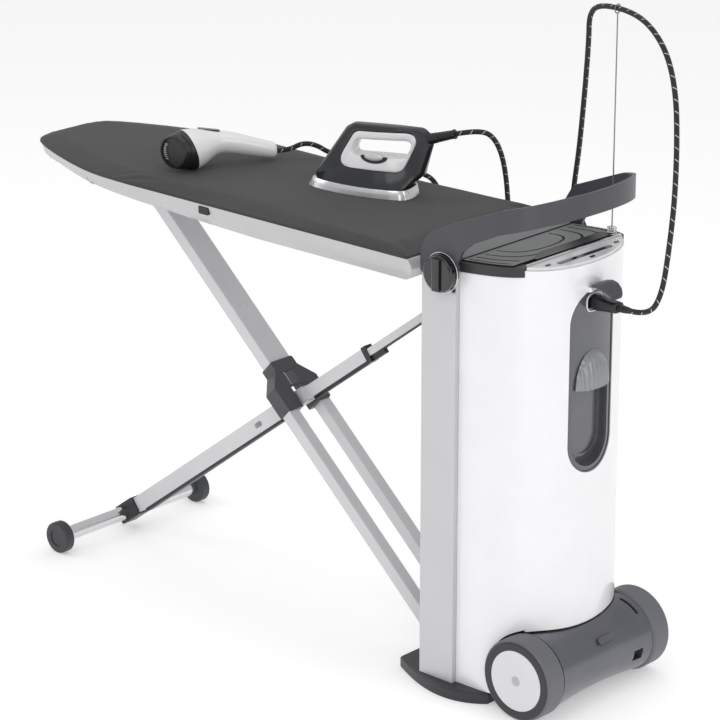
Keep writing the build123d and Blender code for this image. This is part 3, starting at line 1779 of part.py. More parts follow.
def coil_end():
    edges = [arc_at(*arc) for arc in coil_arcs()]
    wire = Wire(edges)
    way = wire % 1
    return wire @ 1 + way * (hose_end_straight + seat_gap), way


def make_steamer_plug():
    start, way = coil_end()
    plane = Plane(start, z_dir=way)
    neck = Pos(0, 0, steamer_plug_length / 4) * Cone(hose_radius, coil_z - seat_gap, steamer_plug_length / 2)
    body = Pos(0, 0, steamer_plug_length * 0.75) * Cylinder(coil_z - seat_gap, steamer_plug_length / 2)
    return plane.location * (neck + body)


def make_tie():
    # Strap round the bundle of turns on the side away from the lead-in.
    inner = coil_inner_radius - hose_radius - tie_gap
    outer = coil_inner_radius + coil_pitch * (coil_half_turns / 2 - 1) + hose_radius + tie_gap
    low = coil_z - hose_radius - tie_gap
    high = coil_z + hose_radius + tie_gap
    centre = coil_centre[1]
    half = tie_width / 2
    x = coil_centre[0]
    ring = block(x - half, x + half, centre - outer - tie_wall, centre - inner + tie_wall, low - tie_wall, high + tie_wall)
    ring = ring - block(x - half - overrun, x + half + overrun, centre - outer, centre - inner, low, high)
    return fillet(ring.edges().filter_by(Axis.X), tie_wall / 3)


fixed_nodes = {
    "base_plate": make_base_plate,
    "column": make_column,
    "column_cap": make_column_cap,
    "housing": make_housing,
    "boiler": make_boiler,
    "rest_frame": make_rest_frame,
    "rest_mat": make_rest_mat,
    "rest_ridge": make_ridge,
    "control_panel": make_panel,
    "display_window": make_display,
    "carry_handle": make_handle,
    "tank_bay": make_bay,
    "water_tank": make_tank,
    "tank_grip": make_grip,
    "socket_flap": make_flap,
    "hose_plug": make_plug,
    "mast_spring": make_mast_spring,
    "hose_mast": make_mast,
    "drum": make_drum,
    "drum_button": make_drum_button,
    "carriage": make_carriage,
    "board_rim": make_rim,
    "board_rails": make_rails,
    "board_cover": make_cover,
    "rim_catch": make_catch,
    "slider_block": make_slider,
    "leg_channel": make_channel,
    "hub": make_hub,
    "leg_plank": make_plank,
    "leg_sleeve": make_sleeve,
    "leg_profile": make_profile,
    "sleeve_cap": make_sleeve_cap,
    "foot_clamp": make_clamp,
    "foot_tube": make_foot_tube,
    "iron_sole": make_iron_sole,
    "iron_body": make_iron_body,
    "iron_frame": make_iron_frame,
    "iron_button": make_iron_button,
    "iron_sleeve": make_iron_sleeve,
    "steamer_head": make_steamer_head,
    "steamer_body": make_steamer_body,
    "steamer_trigger": make_trigger,
    "iron_hose": make_iron_hose,
    "steamer_hose": make_steamer_hose,
    "steamer_coil": make_coil,
    "steamer_plug": make_steamer_plug,
    "hose_tie": make_tie,
}
sided_nodes = {
    "knob": make_knob,
    "tyre": make_tyre,
    "wheel_disc": make_wheel_disc,
    "rail": make_rail,
    "roller": make_roller,
}
key_names = ["near_key", "middle_key", "far_key"]

count = 0
for node, make in fixed_nodes.items():
    save(make(), node)
    count = count + 1
for node, make in sided_nodes.items():
    save(make(-1), "near_" + node)
    save(make(1), "far_" + node)
    count = count + 2
for node, spot in zip(key_names, key_spots):
    save(make_key(*spot), node)
    count = count + 1
print("nodes", count)
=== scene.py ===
import math

import bmesh
import bpy
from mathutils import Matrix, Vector


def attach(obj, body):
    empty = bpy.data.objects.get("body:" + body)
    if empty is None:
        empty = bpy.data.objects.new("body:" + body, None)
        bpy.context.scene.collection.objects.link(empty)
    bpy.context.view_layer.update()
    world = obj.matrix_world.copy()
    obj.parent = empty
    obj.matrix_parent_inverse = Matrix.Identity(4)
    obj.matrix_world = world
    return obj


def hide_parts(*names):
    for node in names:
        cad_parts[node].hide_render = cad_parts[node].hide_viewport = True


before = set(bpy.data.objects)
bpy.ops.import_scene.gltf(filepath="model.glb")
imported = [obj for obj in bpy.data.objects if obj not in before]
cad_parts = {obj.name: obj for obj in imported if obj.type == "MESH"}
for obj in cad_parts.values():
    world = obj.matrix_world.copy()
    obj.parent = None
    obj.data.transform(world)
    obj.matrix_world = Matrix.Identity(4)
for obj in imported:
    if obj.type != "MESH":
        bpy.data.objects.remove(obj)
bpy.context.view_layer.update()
print("frame loaded")


def toLinear(code):
    values = []
    for i in (0, 2, 4):
        c = int(code[i:i + 2], 16) / 255
        values.append(c / 12.92 if c <= 0.04045 else ((c + 0.055) / 1.055) ** 2.4)
    return (*values, 1.0)


def setInputs(material, node, inputs):
    # Link what is a socket, set what is a value.
    for key, value in dict(inputs).items():
        if isinstance(value, bpy.types.NodeSocket):
            material.node_tree.links.new(value, node.inputs[key])
        else:
            node.inputs[key].default_value = value


def addNode(material, kind, inputs=(), settings=()):
    node = material.node_tree.nodes.new(kind)
    for name, value in dict(settings).items():
        setattr(node, name, value)
    setInputs(material, node, inputs)
    return node


def startMaterial(name, roughness, metallic=0.0, coat=0.0, sheen=0.0):
    material = bpy.data.materials.new(name)
    material.use_nodes = True
    shader = material.node_tree.nodes["Principled BSDF"]
    values = {"Roughness": roughness, "Metallic": metallic, "Coat Weight": coat, "Coat Roughness": 0.1}
    setInputs(material, shader, {**values, "Sheen Weight": sheen})
    return material, shader


def finishMaterial(material, shader, factor, low, high, height, depth):
    # Colour from low to high by the factor, each a hex code or a socket, and relief of a depth in metres.
    low, high = (toLinear(c) if isinstance(c, str) else c for c in (low, high))
    colour = addNode(material, "ShaderNodeMix", {0: factor, 6: low, 7: high}, {"data_type": "RGBA"})
    relief = addNode(material, "ShaderNodeBump", {"Height": height, "Distance": depth})
    setInputs(material, shader, {"Base Color": colour.outputs[2], "Normal": relief.outputs["Normal"]})
    return material


def speckled(name, low, high, roughness, blotch, grain, detail, depth, coat=0.0, metallic=0.0):
    # Two close colours drift into each other over a fine relief; blotch, grain and depth are in metres.
    material, shader = startMaterial(name, roughness, metallic=metallic, coat=coat)
    place = addNode(material, "ShaderNodeTexCoord").outputs["Object"]
    drift = addNode(material, "ShaderNodeTexNoise", {"Vector": place, "Scale": 1 / blotch, "Detail": 2.0})
    relief = addNode(material, "ShaderNodeTexNoise", {"Vector": place, "Scale": 1 / grain, "Detail": detail})
    return finishMaterial(material, shader, drift.outputs["Fac"], low, high, relief.outputs["Fac"], depth)


def mouldedPlastic(name, low, high, roughness, grain=0.0006, depth=0.00004, coat=0.0, metallic=0.0):
    # Moulded plastic: faint colour drift and the fine spark-eroded grain of the tool.
    return speckled(name, low, high, roughness, 0.06, grain, 3.0, depth, coat, metallic)


def paintedMetal(name, low, high, roughness, metallic):
    # Powder coat: orange-peel ripple and a trace of metal flake.
    return speckled(name, low, high, roughness, 0.12, 0.0012, 4.0, 0.00003, 0.0, metallic)


def brushedMetal(name, low, high, roughness, stretch=(1, 1, 1)):
    # Stainless or plated steel: scratches of 4 mm, drawn out along one direction where it is brushed.
    material, shader = startMaterial(name, roughness, metallic=1.0)
    coords = addNode(material, "ShaderNodeTexCoord")
    place = addNode(material, "ShaderNodeMapping", {"Vector": coords.outputs["Object"], "Scale": stretch})
    inputs = {"Vector": place.outputs["Vector"], "Scale": 1 / 0.004, "Detail": 6.0}
    lines = addNode(material, "ShaderNodeTexNoise", inputs).outputs["Fac"]
    return finishMaterial(material, shader, lines, low, high, lines, 0.00002)


def wovenCover(name, low, high):
    # Padded cover: dense plain weave of 0.9 mm threads over soft felt, mottled in 90 mm blotches.
    thread = 0.0009
    material, shader = startMaterial(name, 0.86, sheen=0.12)
    setInputs(material, shader, {"Sheen Roughness": 0.6})
    place = addNode(material, "ShaderNodeTexCoord").outputs["Object"]
    inputs = {"Vector": place, "Scale": 1 / (2 * thread) / 3.14, "Distortion": 1.2, "Detail": 2.0}
    warp, weft = (
        addNode(material, "ShaderNodeTexWave", inputs, {"bands_direction": direction}).outputs["Fac"]
        for direction in ("X", "Y")
    )
    cross = addNode(material, "ShaderNodeMath", {0: warp, 1: weft}, {"operation": "MULTIPLY"}).outputs[0]
    blotch = addNode(material, "ShaderNodeTexNoise", {"Vector": place, "Scale": 1 / 0.09, "Detail": 4.0})
    inputs = {0: cross, 1: 0.35, 2: blotch.outputs["Fac"]}
    mottle = addNode(material, "ShaderNodeMath", inputs, {"operation": "MULTIPLY_ADD"})
    return finishMaterial(material, shader, mottle.outputs[0], low, high, cross, 0.00018)


def braidedHose(name, low, high, yarn):
    # Textile braid over a hose, its diamonds drawn at 3.2 mm so that they show, with a light tracer yarn.
    material, shader = startMaterial(name, 0.75, sheen=0.15)
    coords = addNode(material, "ShaderNodeTexCoord")
    split = addNode(material, "ShaderNodeSeparateXYZ", {"Vector": coords.outputs["UV"]})

    def helix(turns, pitch):
        # Distance from the middle of a thread that winds round the hose, in shares of its pitch.
        inputs = {0: split.outputs["Y"], 1: 1 / pitch}
        climb = addNode(material, "ShaderNodeMath", inputs, {"operation": "MULTIPLY"}).outputs[0]
        value = split.outputs["X"]
        steps = (("MULTIPLY", turns), ("ADD", climb), ("FRACT", 0.0), ("SUBTRACT", 0.5), ("ABSOLUTE", 0.0))
        for operation, second in steps:
            inputs = {0: value, 1: second}
            value = addNode(material, "ShaderNodeMath", inputs, {"operation": operation}).outputs[0]
        return value

    inputs = {0: helix(10, 0.0032), 1: helix(-10, 0.0032)}
    braid = addNode(material, "ShaderNodeMath", inputs, {"operation": "MULTIPLY"}).outputs[0]
    tracer, outside = (
        addNode(material, "ShaderNodeMath", {0: thread, 1: level}, {"operation": "GREATER_THAN"}).outputs[0]
        for thread, level in ((helix(1, 0.021), 0.465), (helix(2, 1000), 0.24))
    )
    inputs = {0: braid, 6: toLinear(low), 7: toLinear(high)}
    dark = addNode(material, "ShaderNodeMix", inputs, {"data_type": "RGBA"}).outputs[2]
    shown = addNode(material, "ShaderNodeMath", {0: tracer, 1: outside}, {"operation": "MULTIPLY"})
    return finishMaterial(material, shader, shown.outputs[0], dark, yarn, braid, 0.0008)


# Slope of the mat's top, and the height at x = 0 below which its surface gets the near-black painted shade
# of the grooves and sides.
matSlope = 0.087
shadedGrooveLevel = 0.8397


def siliconeShadedInGrooves(name, low, high, groove):
    # Moulded silicone mat: matt grey on its sloping top, painted near black as shade in the grooves and
    # round the sides.
    material, shader = startMaterial(name, 0.6)
    place = addNode(material, "ShaderNodeTexCoord").outputs["Object"]
    split = addNode(material, "ShaderNodeSeparateXYZ", {"Vector": place})
    inputs = {0: split.outputs["X"], 1: -matSlope, 2: split.outputs["Z"]}
    rise = addNode(material, "ShaderNodeMath", inputs, {"operation": "MULTIPLY_ADD"}).outputs[0]
    top = addNode(material, "ShaderNodeMath", {0: rise, 1: shadedGrooveLevel}, {"operation": "GREATER_THAN"})
    drift = addNode(material, "ShaderNodeTexNoise", {"Vector": place, "Scale": 1 / 0.05, "Detail": 2.0})
    inputs = {0: drift.outputs["Fac"], 6: toLinear(low), 7: toLinear(high)}
    face = addNode(material, "ShaderNodeMix", inputs, {"data_type": "RGBA"}).outputs[2]
    grain = addNode(material, "ShaderNodeTexNoise", {"Vector": place, "Scale": 1 / 0.0009, "Detail": 3.0})
    # The groove colour is painted shade, laid on wherever the surface lies below the groove level.
    return finishMaterial(material, shader, top.outputs[0], groove, face, grain.outputs["Fac"], 0.00006)


def tyreRubber(name, side, paintedLitTread, edge):
    # Wheel rubber: lighter tread, a painted highlight where the tread faces the light, between the darker
    # side faces, which start at the edge.
    material, shader = startMaterial(name, 0.5)
    place = addNode(material, "ShaderNodeTexCoord").outputs["Object"]
    split = addNode(material, "ShaderNodeSeparateXYZ", {"Vector": place})
    away = addNode(material, "ShaderNodeMath", {0: split.outputs["Y"]}, {"operation": "ABSOLUTE"})
    middle = addNode(material, "ShaderNodeMath", {0: away.outputs[0], 1: edge}, {"operation": "LESS_THAN"})
    grain = addNode(material, "ShaderNodeTexNoise", {"Vector": place, "Scale": 1 / 0.0012, "Detail": 3.0})
    return finishMaterial(material, shader, middle.outputs[0], side, paintedLitTread, grain.outputs["Fac"], 0.00005)


# Each material: name, darker and lighter colour, roughness, then grain, depth of relief and coat.
smooth = {"grain": 0.002, "depth": 0.00002, "coat": 0.4}
polished = {"grain": 0.003, "depth": 0.00001, "coat": 0.4}
materials = {
    "whiteGloss": mouldedPlastic("glossy_white_abs", "eeeef0", "f5f5f7", 0.18, 0.003, 0.00002, 0.6),
    "silverColumn": paintedMetal("satin_silver_column", "c6c5c8", "cfced1", 0.4, 0.1),
    "silverLeg": paintedMetal("satin_silver_legs", "cdcdcf", "d8d8da", 0.38, 0.08),
    "silverRim": paintedMetal("satin_silver_rim", "bdbcbe", "c7c6c8", 0.4, 0.1),
    "satinDark": mouldedPlastic("satin_dark_polypropylene", "2c2c2f", "353539", 0.42),
    "charcoal": mouldedPlastic("charcoal_soft_touch", "414046", "4a494f", 0.36),
    "darkEdge": mouldedPlastic("black_moulded_trim", "1c1c1f", "252529", 0.35),
    # The silicone mat's near-black groove and side colour is painted shade.
    "mat": siliconeShadedInGrooves("grey_silicone", "6f7172", "7b7d7d", "1a1a1c"),
    "blackGloss": mouldedPlastic("black_gloss_acrylic", "0c0c0e", "141418", 0.1, 0.002, 0.00001, 0.6),
    "panel": mouldedPlastic("silver_lacquered_panel", "d2d3d5", "dfe0e2", 0.22, 0.001, 0.00002, 0.5, 0.2),
    "smoke": mouldedPlastic("smoked_polycarbonate", "55565a", "606165", 0.16, 0.003, 0.00001, 0.5, 0.15),
    "grip": mouldedPlastic("smoked_ribbed_grip", "84868a", "94969a", 0.2, metallic=0.2, **polished),
    "drum": mouldedPlastic("metallic_grey_drum", "5a5b63", "686971", 0.27, 0.001, 0.00002, 0.4, 0.55),
    "rubber": mouldedPlastic("roller_rubber", "34353a", "404146", 0.5),
    # The tyre's lighter tread is a painted highlight.
    "tyre": tyreRubber("wheel_rubber", "323236", "66676c", 0.1795),
    "darkPaint": paintedMetal("black_powder_coat", "232326", "2c2c30", 0.45, 0.2),
    "chrome": brushedMetal("polished_chrome", "cfd0d2", "e6e7e9", 0.14),
    "wire": brushedMetal("spring_steel_wire", "77787a", "8e8f91", 0.3),
    "steel": brushedMetal("brushed_steel_sole", "cccdcf", "efeff1", 0.24, (40, 40, 1)),
    "cover": wovenCover("woven_board_cover", "2d2d2e", "3a3a3b"),
    "braid": braidedHose("braided_hose", "1b1b1d", "47474a", "d4d2cd"),
    "ironBlue": mouldedPlastic("dark_blue_grey_gloss", "17191d", "1e2126", 0.28, **smooth),
    "ribGrey": mouldedPlastic("grey_comb_ribs", "bcbcbe", "cacacc", 0.35),
    "whitePearl": mouldedPlastic("pearl_white_frame", "e6e6e8", "efeff1", 0.24, metallic=0.05, **smooth),
    "discWhite": mouldedPlastic("pale_grey_wheel_disc", "d6d6d9", "dedee1", 0.24, 0.002, 0.00001, 0.4),
    "discGrey": mouldedPlastic("moulded_disc_dimple", "b2b2b6", "bababe", 0.3),
}
# The look of each node of the frame.
looksOf = {
    "silverColumn": ["column"],
    "silverLeg": ["leg_channel", "near_rail", "far_rail", "leg_plank", "leg_sleeve", "leg_profile"],
    "silverRim": ["board_rim"],
    "whiteGloss": ["housing", "steamer_body"],
    "satinDark": ["base_plate", "rest_frame", "socket_flap", "hose_tie"],
    "charcoal": ["carry_handle", "hub"],
    "darkEdge": [
        "column_cap",
        "hose_plug",
        "rim_catch",
        "slider_block",
        "sleeve_cap",
        "foot_clamp",
        "iron_sleeve",
        "steamer_head",
        "steamer_plug",
    ],
    "steel": ["boiler", "iron_sole"],
    "mat": ["rest_mat"],
    "chrome": ["rest_ridge", "mast_spring", "foot_tube", "iron_button"],
    "panel": ["control_panel"],
    "blackGloss": [
        "display_window",
        "near_knob",
        "far_knob",
        "near_key",
        "middle_key",
        "far_key",
        "steamer_trigger",
    ],
    "smoke": ["tank_bay", "water_tank"],
    "grip": ["tank_grip"],
    "wire": ["hose_mast"],
    "drum": ["drum", "drum_button"],
    "tyre": ["near_tyre", "far_tyre"],
    "discWhite": ["near_wheel_disc", "far_wheel_disc"],
    "darkPaint": ["carriage", "board_rails"],
    "cover": ["board_cover"],
    "rubber": ["near_roller", "far_roller"],
    "ironBlue": ["iron_body"],
    "whitePearl": ["iron_frame"],
}
for look, nodeNames in looksOf.items():
    for nodeName in nodeNames:
        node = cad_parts[nodeName]
        node.data.materials.clear()
        node.data.materials.append(materials[look])
print("materials done")


def circle(count, start=0.0):
    # Cosine and sine of even steps round a circle.
    angles = [2 * math.pi * (k + start) / count for k in range(count)]
    return [(math.cos(angle), math.sin(angle)) for angle in angles]


def finishMesh(bm, name, body, look, sharp=None):
    # Faces outward, smooth up to the sharp angle where one is given, and the piece on its body.
    bmesh.ops.recalc_face_normals(bm, faces=bm.faces)
    mesh = bpy.data.meshes.new(name)
    bm.to_mesh(mesh)
    bm.free()
    if sharp:
        for polygon in mesh.polygons:
            polygon.use_smooth = True
        mesh.set_sharp_from_angle(angle=math.radians(sharp))
    obj = bpy.data.objects.new(name, mesh)
    bpy.context.scene.collection.objects.link(obj)
    mesh.materials.append(materials[look])
    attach(obj, body)
    return obj


def bevelAll(bm, width, segments):
    bmesh.ops.bevel(
        bm, geom=bm.edges[:], offset=width, segments=segments, affect="EDGES", profile=0.5, material=-1
    )


def ringLoop(bm, points):
    made = bmesh.ops.create_circle(bm, cap_ends=False, segments=len(points), radius=1)
    for vert, point in zip(made["verts"], points):
        vert.co = point
    return list({edge for vert in made["verts"] for edge in vert.link_edges})


def skin(name, rings, body, look, closed=False, sharp=40):
    # Bridge ring after ring into one smooth shell, its ends filled unless it closes on itself.
    bm = bmesh.new()
    loops = [ringLoop(bm, ring) for ring in rings]
    for first, second in zip(loops, loops[1:]):
        bmesh.ops.bridge_loops(bm, edges=first + second)
    if closed:
        bmesh.ops.bridge_loops(bm, edges=loops[-1] + loops[0])
    else:
        bmesh.ops.holes_fill(bm, edges=loops[0] + loops[-1], sides=0)
    return finishMesh(bm, name, body, look, sharp)


def smoothStep(value, low, high):
    share = min(max((value - low) / (high - low), 0), 1)
    return share * share * (3 - 2 * share)


def along(table, at):
    # Linear reading of a table of (place, value, value...) rows.
    if at <= table[0][0]:
        return table[0][1:]
    for low, high in zip(table, table[1:]):
        if at <= high[0]:
            share = (at - low[0]) / (high[0] - low[0])
            return tuple(a + (b - a) * share for a, b in zip(low[1:], high[1:]))
    return table[-1][1:]


def arc(before, corner, after, share):
    # Point on the curve that leaves before towards the corner and comes in to after.
    return before.lerp(corner, share).lerp(corner.lerp(after, share), share)


def roundedOutline(corners, radius, steps=8):
    # Closed outline in a plane, every corner rounded.
    corners = [Vector(corner) for corner in corners]
    outline = []
    for i, corner in enumerate(corners):
        before = corners[i - 1] - corner
        after = corners[(i + 1) % len(corners)] - corner
        reach = min(radius / math.tan(before.angle(after) / 2), before.length * 0.48, after.length * 0.48)
        start = corner + before.normalized() * reach
        end = corner + after.normalized() * reach
        outline += [arc(start, corner, end, k / steps) for k in range(steps + 1)]
    return outline


def rayHit(outline, centre, way):
    # Where the ray from the centre leaves the outline.
    way = Vector(way)
    best = None
    for a, b in zip(outline, outline[1:] + outline[:1]):
        edge = b - a
        cross = way.x * edge.y - way.y * edge.x
        if abs(cross) < 1e-12:
            continue
        gap = a - centre
        t = (gap.x * edge.y - gap.y * edge.x) / cross
        s = (gap.x * way.y - gap.y * way.x) / cross
        if t > 0 and -1e-6 <= s <= 1 + 1e-6 and (best is None or t > best):
            best = t
    return centre + way * best


# The photograph's view: degrees round and down, focal length in millimetres, place in metres.
view = {"azimuth": 42.717, "pitch": 18.95, "lens": 158.88, "place": (3.6394, -4.2768, 2.5251)}


def placeCamera():
    azimuth = math.radians(view["azimuth"])
    pitch = math.radians(view["pitch"])
    level = math.cos(pitch)
    back = Vector((math.sin(azimuth) * level, -math.cos(azimuth) * level, math.sin(pitch)))
    data = bpy.data.cameras.new("photo_camera")
    data.lens = view["lens"]
    data.sensor_width = 36
    data.clip_end = 50
    camera = bpy.data.objects.new("photo_camera", data)
    camera.location = view["place"]
    camera.rotation_euler = (-back).to_track_quat("-Z", "Y").to_euler()
    bpy.context.scene.collection.objects.link(camera)
    bpy.context.scene.camera = camera


placeCamera()


# Control points of the two hoses in metres, from the iron and the steamer down to their far ends.
hose = {"radius": 0.005, "sides": 20}
ironHoseRoute = [
    (-0.1586, 0.1032, 0.9854),
    (-0.1190, 0.1165, 0.9972),
    (-0.106, 0.152, 0.982),
    (-0.118, 0.200, 0.915),
    (-0.130, 0.228, 0.800),
    (-0.125, 0.236, 0.670),
    (-0.105, 0.238, 0.560),
    (-0.070, 0.237, 0.485),
    (-0.020, 0.234, 0.485),
    (0.015, 0.230, 0.555),
    (0.025, 0.224, 0.670),
    (0.026, 0.219, 0.800),
    (0.046, 0.205, 0.904),
    (0.071, 0.187, 0.980),
    (0.099, 0.165, 1.103),
    (0.118, 0.149, 1.202),
    (0.124, 0.141, 1.255),
    (0.156, 0.133, 1.277),
    (0.232, 0.124, 1.277),
    (0.291, 0.108, 1.261),
    (0.339, 0.095, 1.220),
    (0.371, 0.080, 1.156),
    (0.390, 0.062, 1.072),
    (0.404, 0.042, 0.979),
    (0.410, 0.022, 0.893),
    (0.408, 0.008, 0.812),
    (0.386, 0.001, 0.771),
    (0.3453, 0.0, 0.771),
]
steamerHoseRoute = [
    (-0.6190, 0.0900, 0.8710),
    (-0.607, 0.112, 0.8694),
    (-0.590, 0.135, 0.883),
    (-0.568, 0.152, 0.880),
    (-0.550, 0.170, 0.863),
    (-0.500, 0.184, 0.858),
    (-0.410, 0.190, 0.858),
    (-0.345, 0.200, 0.860),
    (-0.302, 0.222, 0.838),
    (-0.288, 0.232, 0.720),
    (-0.270, 0.238, 0.590),
    (-0.245, 0.247, 0.460),
    (-0.205, 0.264, 0.340),
    (-0.150, 0.294, 0.240),
    (-0.105, 0.320, 0.170),
    (-0.092, 0.330, 0.100),
    (-0.092, 0.330, 0.040),
    (-0.095, 0.330, 0.0075),
    (-0.120, 0.330, 0.0075),
]
# The steamer's hose ends in a flat coil on the floor: a short turn in, then half turns that widen.
coil = {
    "centre": (-0.125, 0.300),
    "z": 0.0075,
    "inner": 0.042,
    "lead": 0.030,
    "leadSteps": 4,
    "pitch": 0.0107,
    "halfTurns": 6,
    "perHalf": 9,
    "tail": 0.005,
}


def coilPoints():
    # A quarter turn in, then half turns on two centres, each wider than the last by half the pitch.
    points = []
    step = coil["pitch"] / 2
    perHalf = coil["perHalf"]
    lead = coil["lead"]
    radius = coil["inner"]
    centreX, centreY = coil["centre"]
    leadX = centreX - radius + lead
    for k in range(coil["leadSteps"]):
        angle = math.pi / 2 * (1 + (k + 0.5) / coil["leadSteps"])
        points.append((leadX + lead * math.cos(angle), centreY + lead * math.sin(angle)))
    for turn in range(coil["halfTurns"]):
        grow = radius / math.cos(math.pi / perHalf / 2)
        for k in range(perHalf):
            angle = math.pi * (turn + 1 + (k + 0.5) / perHalf)
            points.append((centreX + grow * math.cos(angle), centreY + grow * math.sin(angle)))
        centreX += step if turn % 2 else -step
        radius += step
    points += [(centreX - radius, centreY - coil["tail"] * k) for k in (1, 2)]
    return [(x, y, coil["z"]) for x, y in points]


def splineLine(name, points):
    data = bpy.data.curves.new(name, "CURVE")
    data.dimensions = "3D"
    data.resolution_u = 12
    spline = data.splines.new("NURBS")
    spline.points.add(len(points) - 1)
    for point, place in zip(spline.points, points):
        point.co = (*place, 1)
    spline.order_u = 3
    spline.use_endpoint_u = True
    obj = bpy.data.objects.new(name, data)
    bpy.context.scene.collection.objects.link(obj)
    mesh = bpy.data.meshes.new_from_object(obj)
    line = [v.co.copy() for v in mesh.vertices]
    bpy.data.objects.remove(obj)
    bpy.data.meshes.remove(mesh)
    return line


def roundRing(centre, side, up, radius, count):
    # Circle round the centre in the plane of two unit vectors.
    return [centre + (side * c + up * s) * radius for c, s in circle(count)]


def makeTube(name, line, look):
    # Round tube on a line, its UV in turns around and metres along.
    bm = bmesh.new()
    uvLayer = bm.loops.layers.uv.new("UVMap")
    sides = hose["sides"]
    side = Vector((0, 0, 1)).cross(line[1] - line[0]).normalized()
    rings = []
    lengths = [0.0]
    for i, point in enumerate(line):
        if i:
            lengths.append(lengths[-1] + (point - line[i - 1]).length)
        way = (line[min(i + 1, len(line) - 1)] - line[max(i - 1, 0)]).normalized()
        side = (side - way * side.dot(way)).normalized()
        places = roundRing(point, side, way.cross(side), hose["radius"], sides)
        rings.append([bm.verts.new(place) for place in places])
    for i, (ring, following) in enumerate(zip(rings, rings[1:])):
        for k in range(sides):
            turned = (k + 1) % sides
            face = bm.faces.new([ring[k], ring[turned], following[turned], following[k]])
            face.smooth = True
            for loop, (a, b) in zip(face.loops, [(k, i), (k + 1, i), (k + 1, i + 1), (k, i + 1)]):
                loop[uvLayer].uv = (a / sides, lengths[b])
    bm.faces.new(list(reversed(rings[0])))
    bm.faces.new(rings[-1])
    return finishMesh(bm, name, "tower", look)


def superRing(x, z, halfY, halfZ, power, count=48, tilt=0.0):
    # Rounded-rectangle ring across the x axis, leaned by tilt.
    ring = []
    for c, s in circle(count, 0.5):
        across = math.copysign(abs(c) ** (2 / power), c) * halfY
        up = math.copysign(abs(s) ** (2 / power), s) * halfZ
        ring.append(Vector((x - math.sin(tilt) * up, across, z + math.cos(tilt) * up)))
    return ring


plug = {
    "z": 0.771,
    # Rings no wider than this are round, wider ones nearly square.
    "roundUpTo": 0.0085,
    "roundPower": 2.2,
    "squarePower": 3.4,
    "rows": [
        # x, half width, half height
        (0.2436, 0.0118, 0.0082),
        (0.2660, 0.0118, 0.0082),
        (0.2666, 0.0148, 0.0118),
        (0.2690, 0.0160, 0.0128),
        (0.2800, 0.0160, 0.0126),
        (0.2960, 0.0146, 0.0108),
        (0.3100, 0.0140, 0.0100),
        (0.3190, 0.0134, 0.0094),
        (0.3212, 0.0118, 0.0082),
        (0.3216, 0.0082, 0.0072),
        (0.3255, 0.0080, 0.0070),
        (0.3260, 0.0066, 0.0060),
        (0.3285, 0.0066, 0.0060),
        (0.3290, 0.0076, 0.0068),
        (0.3320, 0.0074, 0.0067),
        (0.3325, 0.0063, 0.0058),
        (0.3350, 0.0063, 0.0058),
        (0.3355, 0.0070, 0.0064),
        (0.3390, 0.0068, 0.0062),
        (0.3395, 0.0060, 0.0056),
        (0.3445, 0.0057, 0.0055),
        (0.3450, 0.0052, 0.0052),
    ],
}


def makePlug():
    # Strain relief: square where it is wide, round where its ribs get narrow.
    rings = []
    for x, halfY, halfZ in plug["rows"]:
        power = plug["squarePower"] if halfY > plug["roundUpTo"] else plug["roundPower"]
        rings.append(superRing(x, plug["z"], halfY, halfZ, power))
    return skin("hose_plug_body", rings, "tower", "darkEdge")


def makeHoses():
    plugPiece = makePlug()
    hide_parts("hose_plug")
    line = splineLine("iron_hose_line", ironHoseRoute)
    tube = makeTube("iron_hose_braid", line, "braid")
    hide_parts("iron_hose")
    line = splineLine("steamer_hose_line", steamerHoseRoute + coilPoints())
    tube = makeTube("steamer_hose_braid", line, "braid")
    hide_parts("steamer_hose", "steamer_coil")


makeHoses()
print("hoses done")


iron = {
    "corner": (-0.249, 0.073, 0.8523),
    "turn": 18.5,
    "middle": (-0.056, 0.090),
    "outline": [
        (-0.200, 0.0186),
        (-0.128, 0.126),
        (-0.114, 0.134),
        (0.031, 0.138),
        (0.045, 0.127),
        (0.051, 0.109),
        (0.032, 0.046),
        (-0.001, 0.0186),
    ],
    "round": 0.010,
    "frame": [(-0.107, 0.1215), (0.027, 0.128), (-0.005, 0.0515), (-0.147, 0.0505)],
    "frameRound": 0.021,
    "grip": [(-0.102, 0.1055), (0.011, 0.1115), (-0.001, 0.0785), (-0.116, 0.0745)],
    "gripRound": 0.012,
    # Half width at each place along the iron, and the share of it at each height.
    "halfWidths": [
        (-0.201, 0.0015),
        (-0.190, 0.013),
        (-0.172, 0.0245),
        (-0.152, 0.031),
        (-0.106, 0.040),
        (-0.062, 0.045),
        (-0.022, 0.0415),
        (-0.002, 0.0345),
        (0.02, 0.024),
        (0.051, 0.017),
    ],
    "waist": [
        (0.018, 0.985),
        (0.030, 0.90),
        (0.045, 0.76),
        (0.062, 0.62),
        (0.085, 0.50),
        (0.110, 0.42),
        (0.138, 0.36),
    ],
    "least": 0.0006,
    # Between these heights the rounded edge grows from this share of itself.
    "softened": (0.019, 0.045, 0.15),
    "edge": 0.009,
    "steps": 5,
    "points": 120,
    # Inset and sink of the rings at the body's opening, then of the frame's outer edge and of its opening.
    "openingRows": [(-0.0022, 0), (-0.0006, 0.0006), (-0.0002, 0.004)],
    "frameRows": [(0.0004, 0.0045), (0.0005, 0.0007), (0.0016, -0.0002), (0.0070, -0.0006)],
    "gripRows": [(-0.0050, 0.0), (-0.0020, 0.0012), (-0.0004, 0.0040), (0.0, 0.0085)],
}


def ironPlace(x, y, z):
    turn = math.radians(iron["turn"])
    corner = iron["corner"]
    return Vector((
        corner[0] + x * math.cos(turn) - y * math.sin(turn),
        corner[1] + x * math.sin(turn) + y * math.cos(turn),
        corner[2] + z,
    ))


def ironHalf(point):
    return max(along(iron["halfWidths"], point.x)[0] * along(iron["waist"], point.y)[0], 0.001)


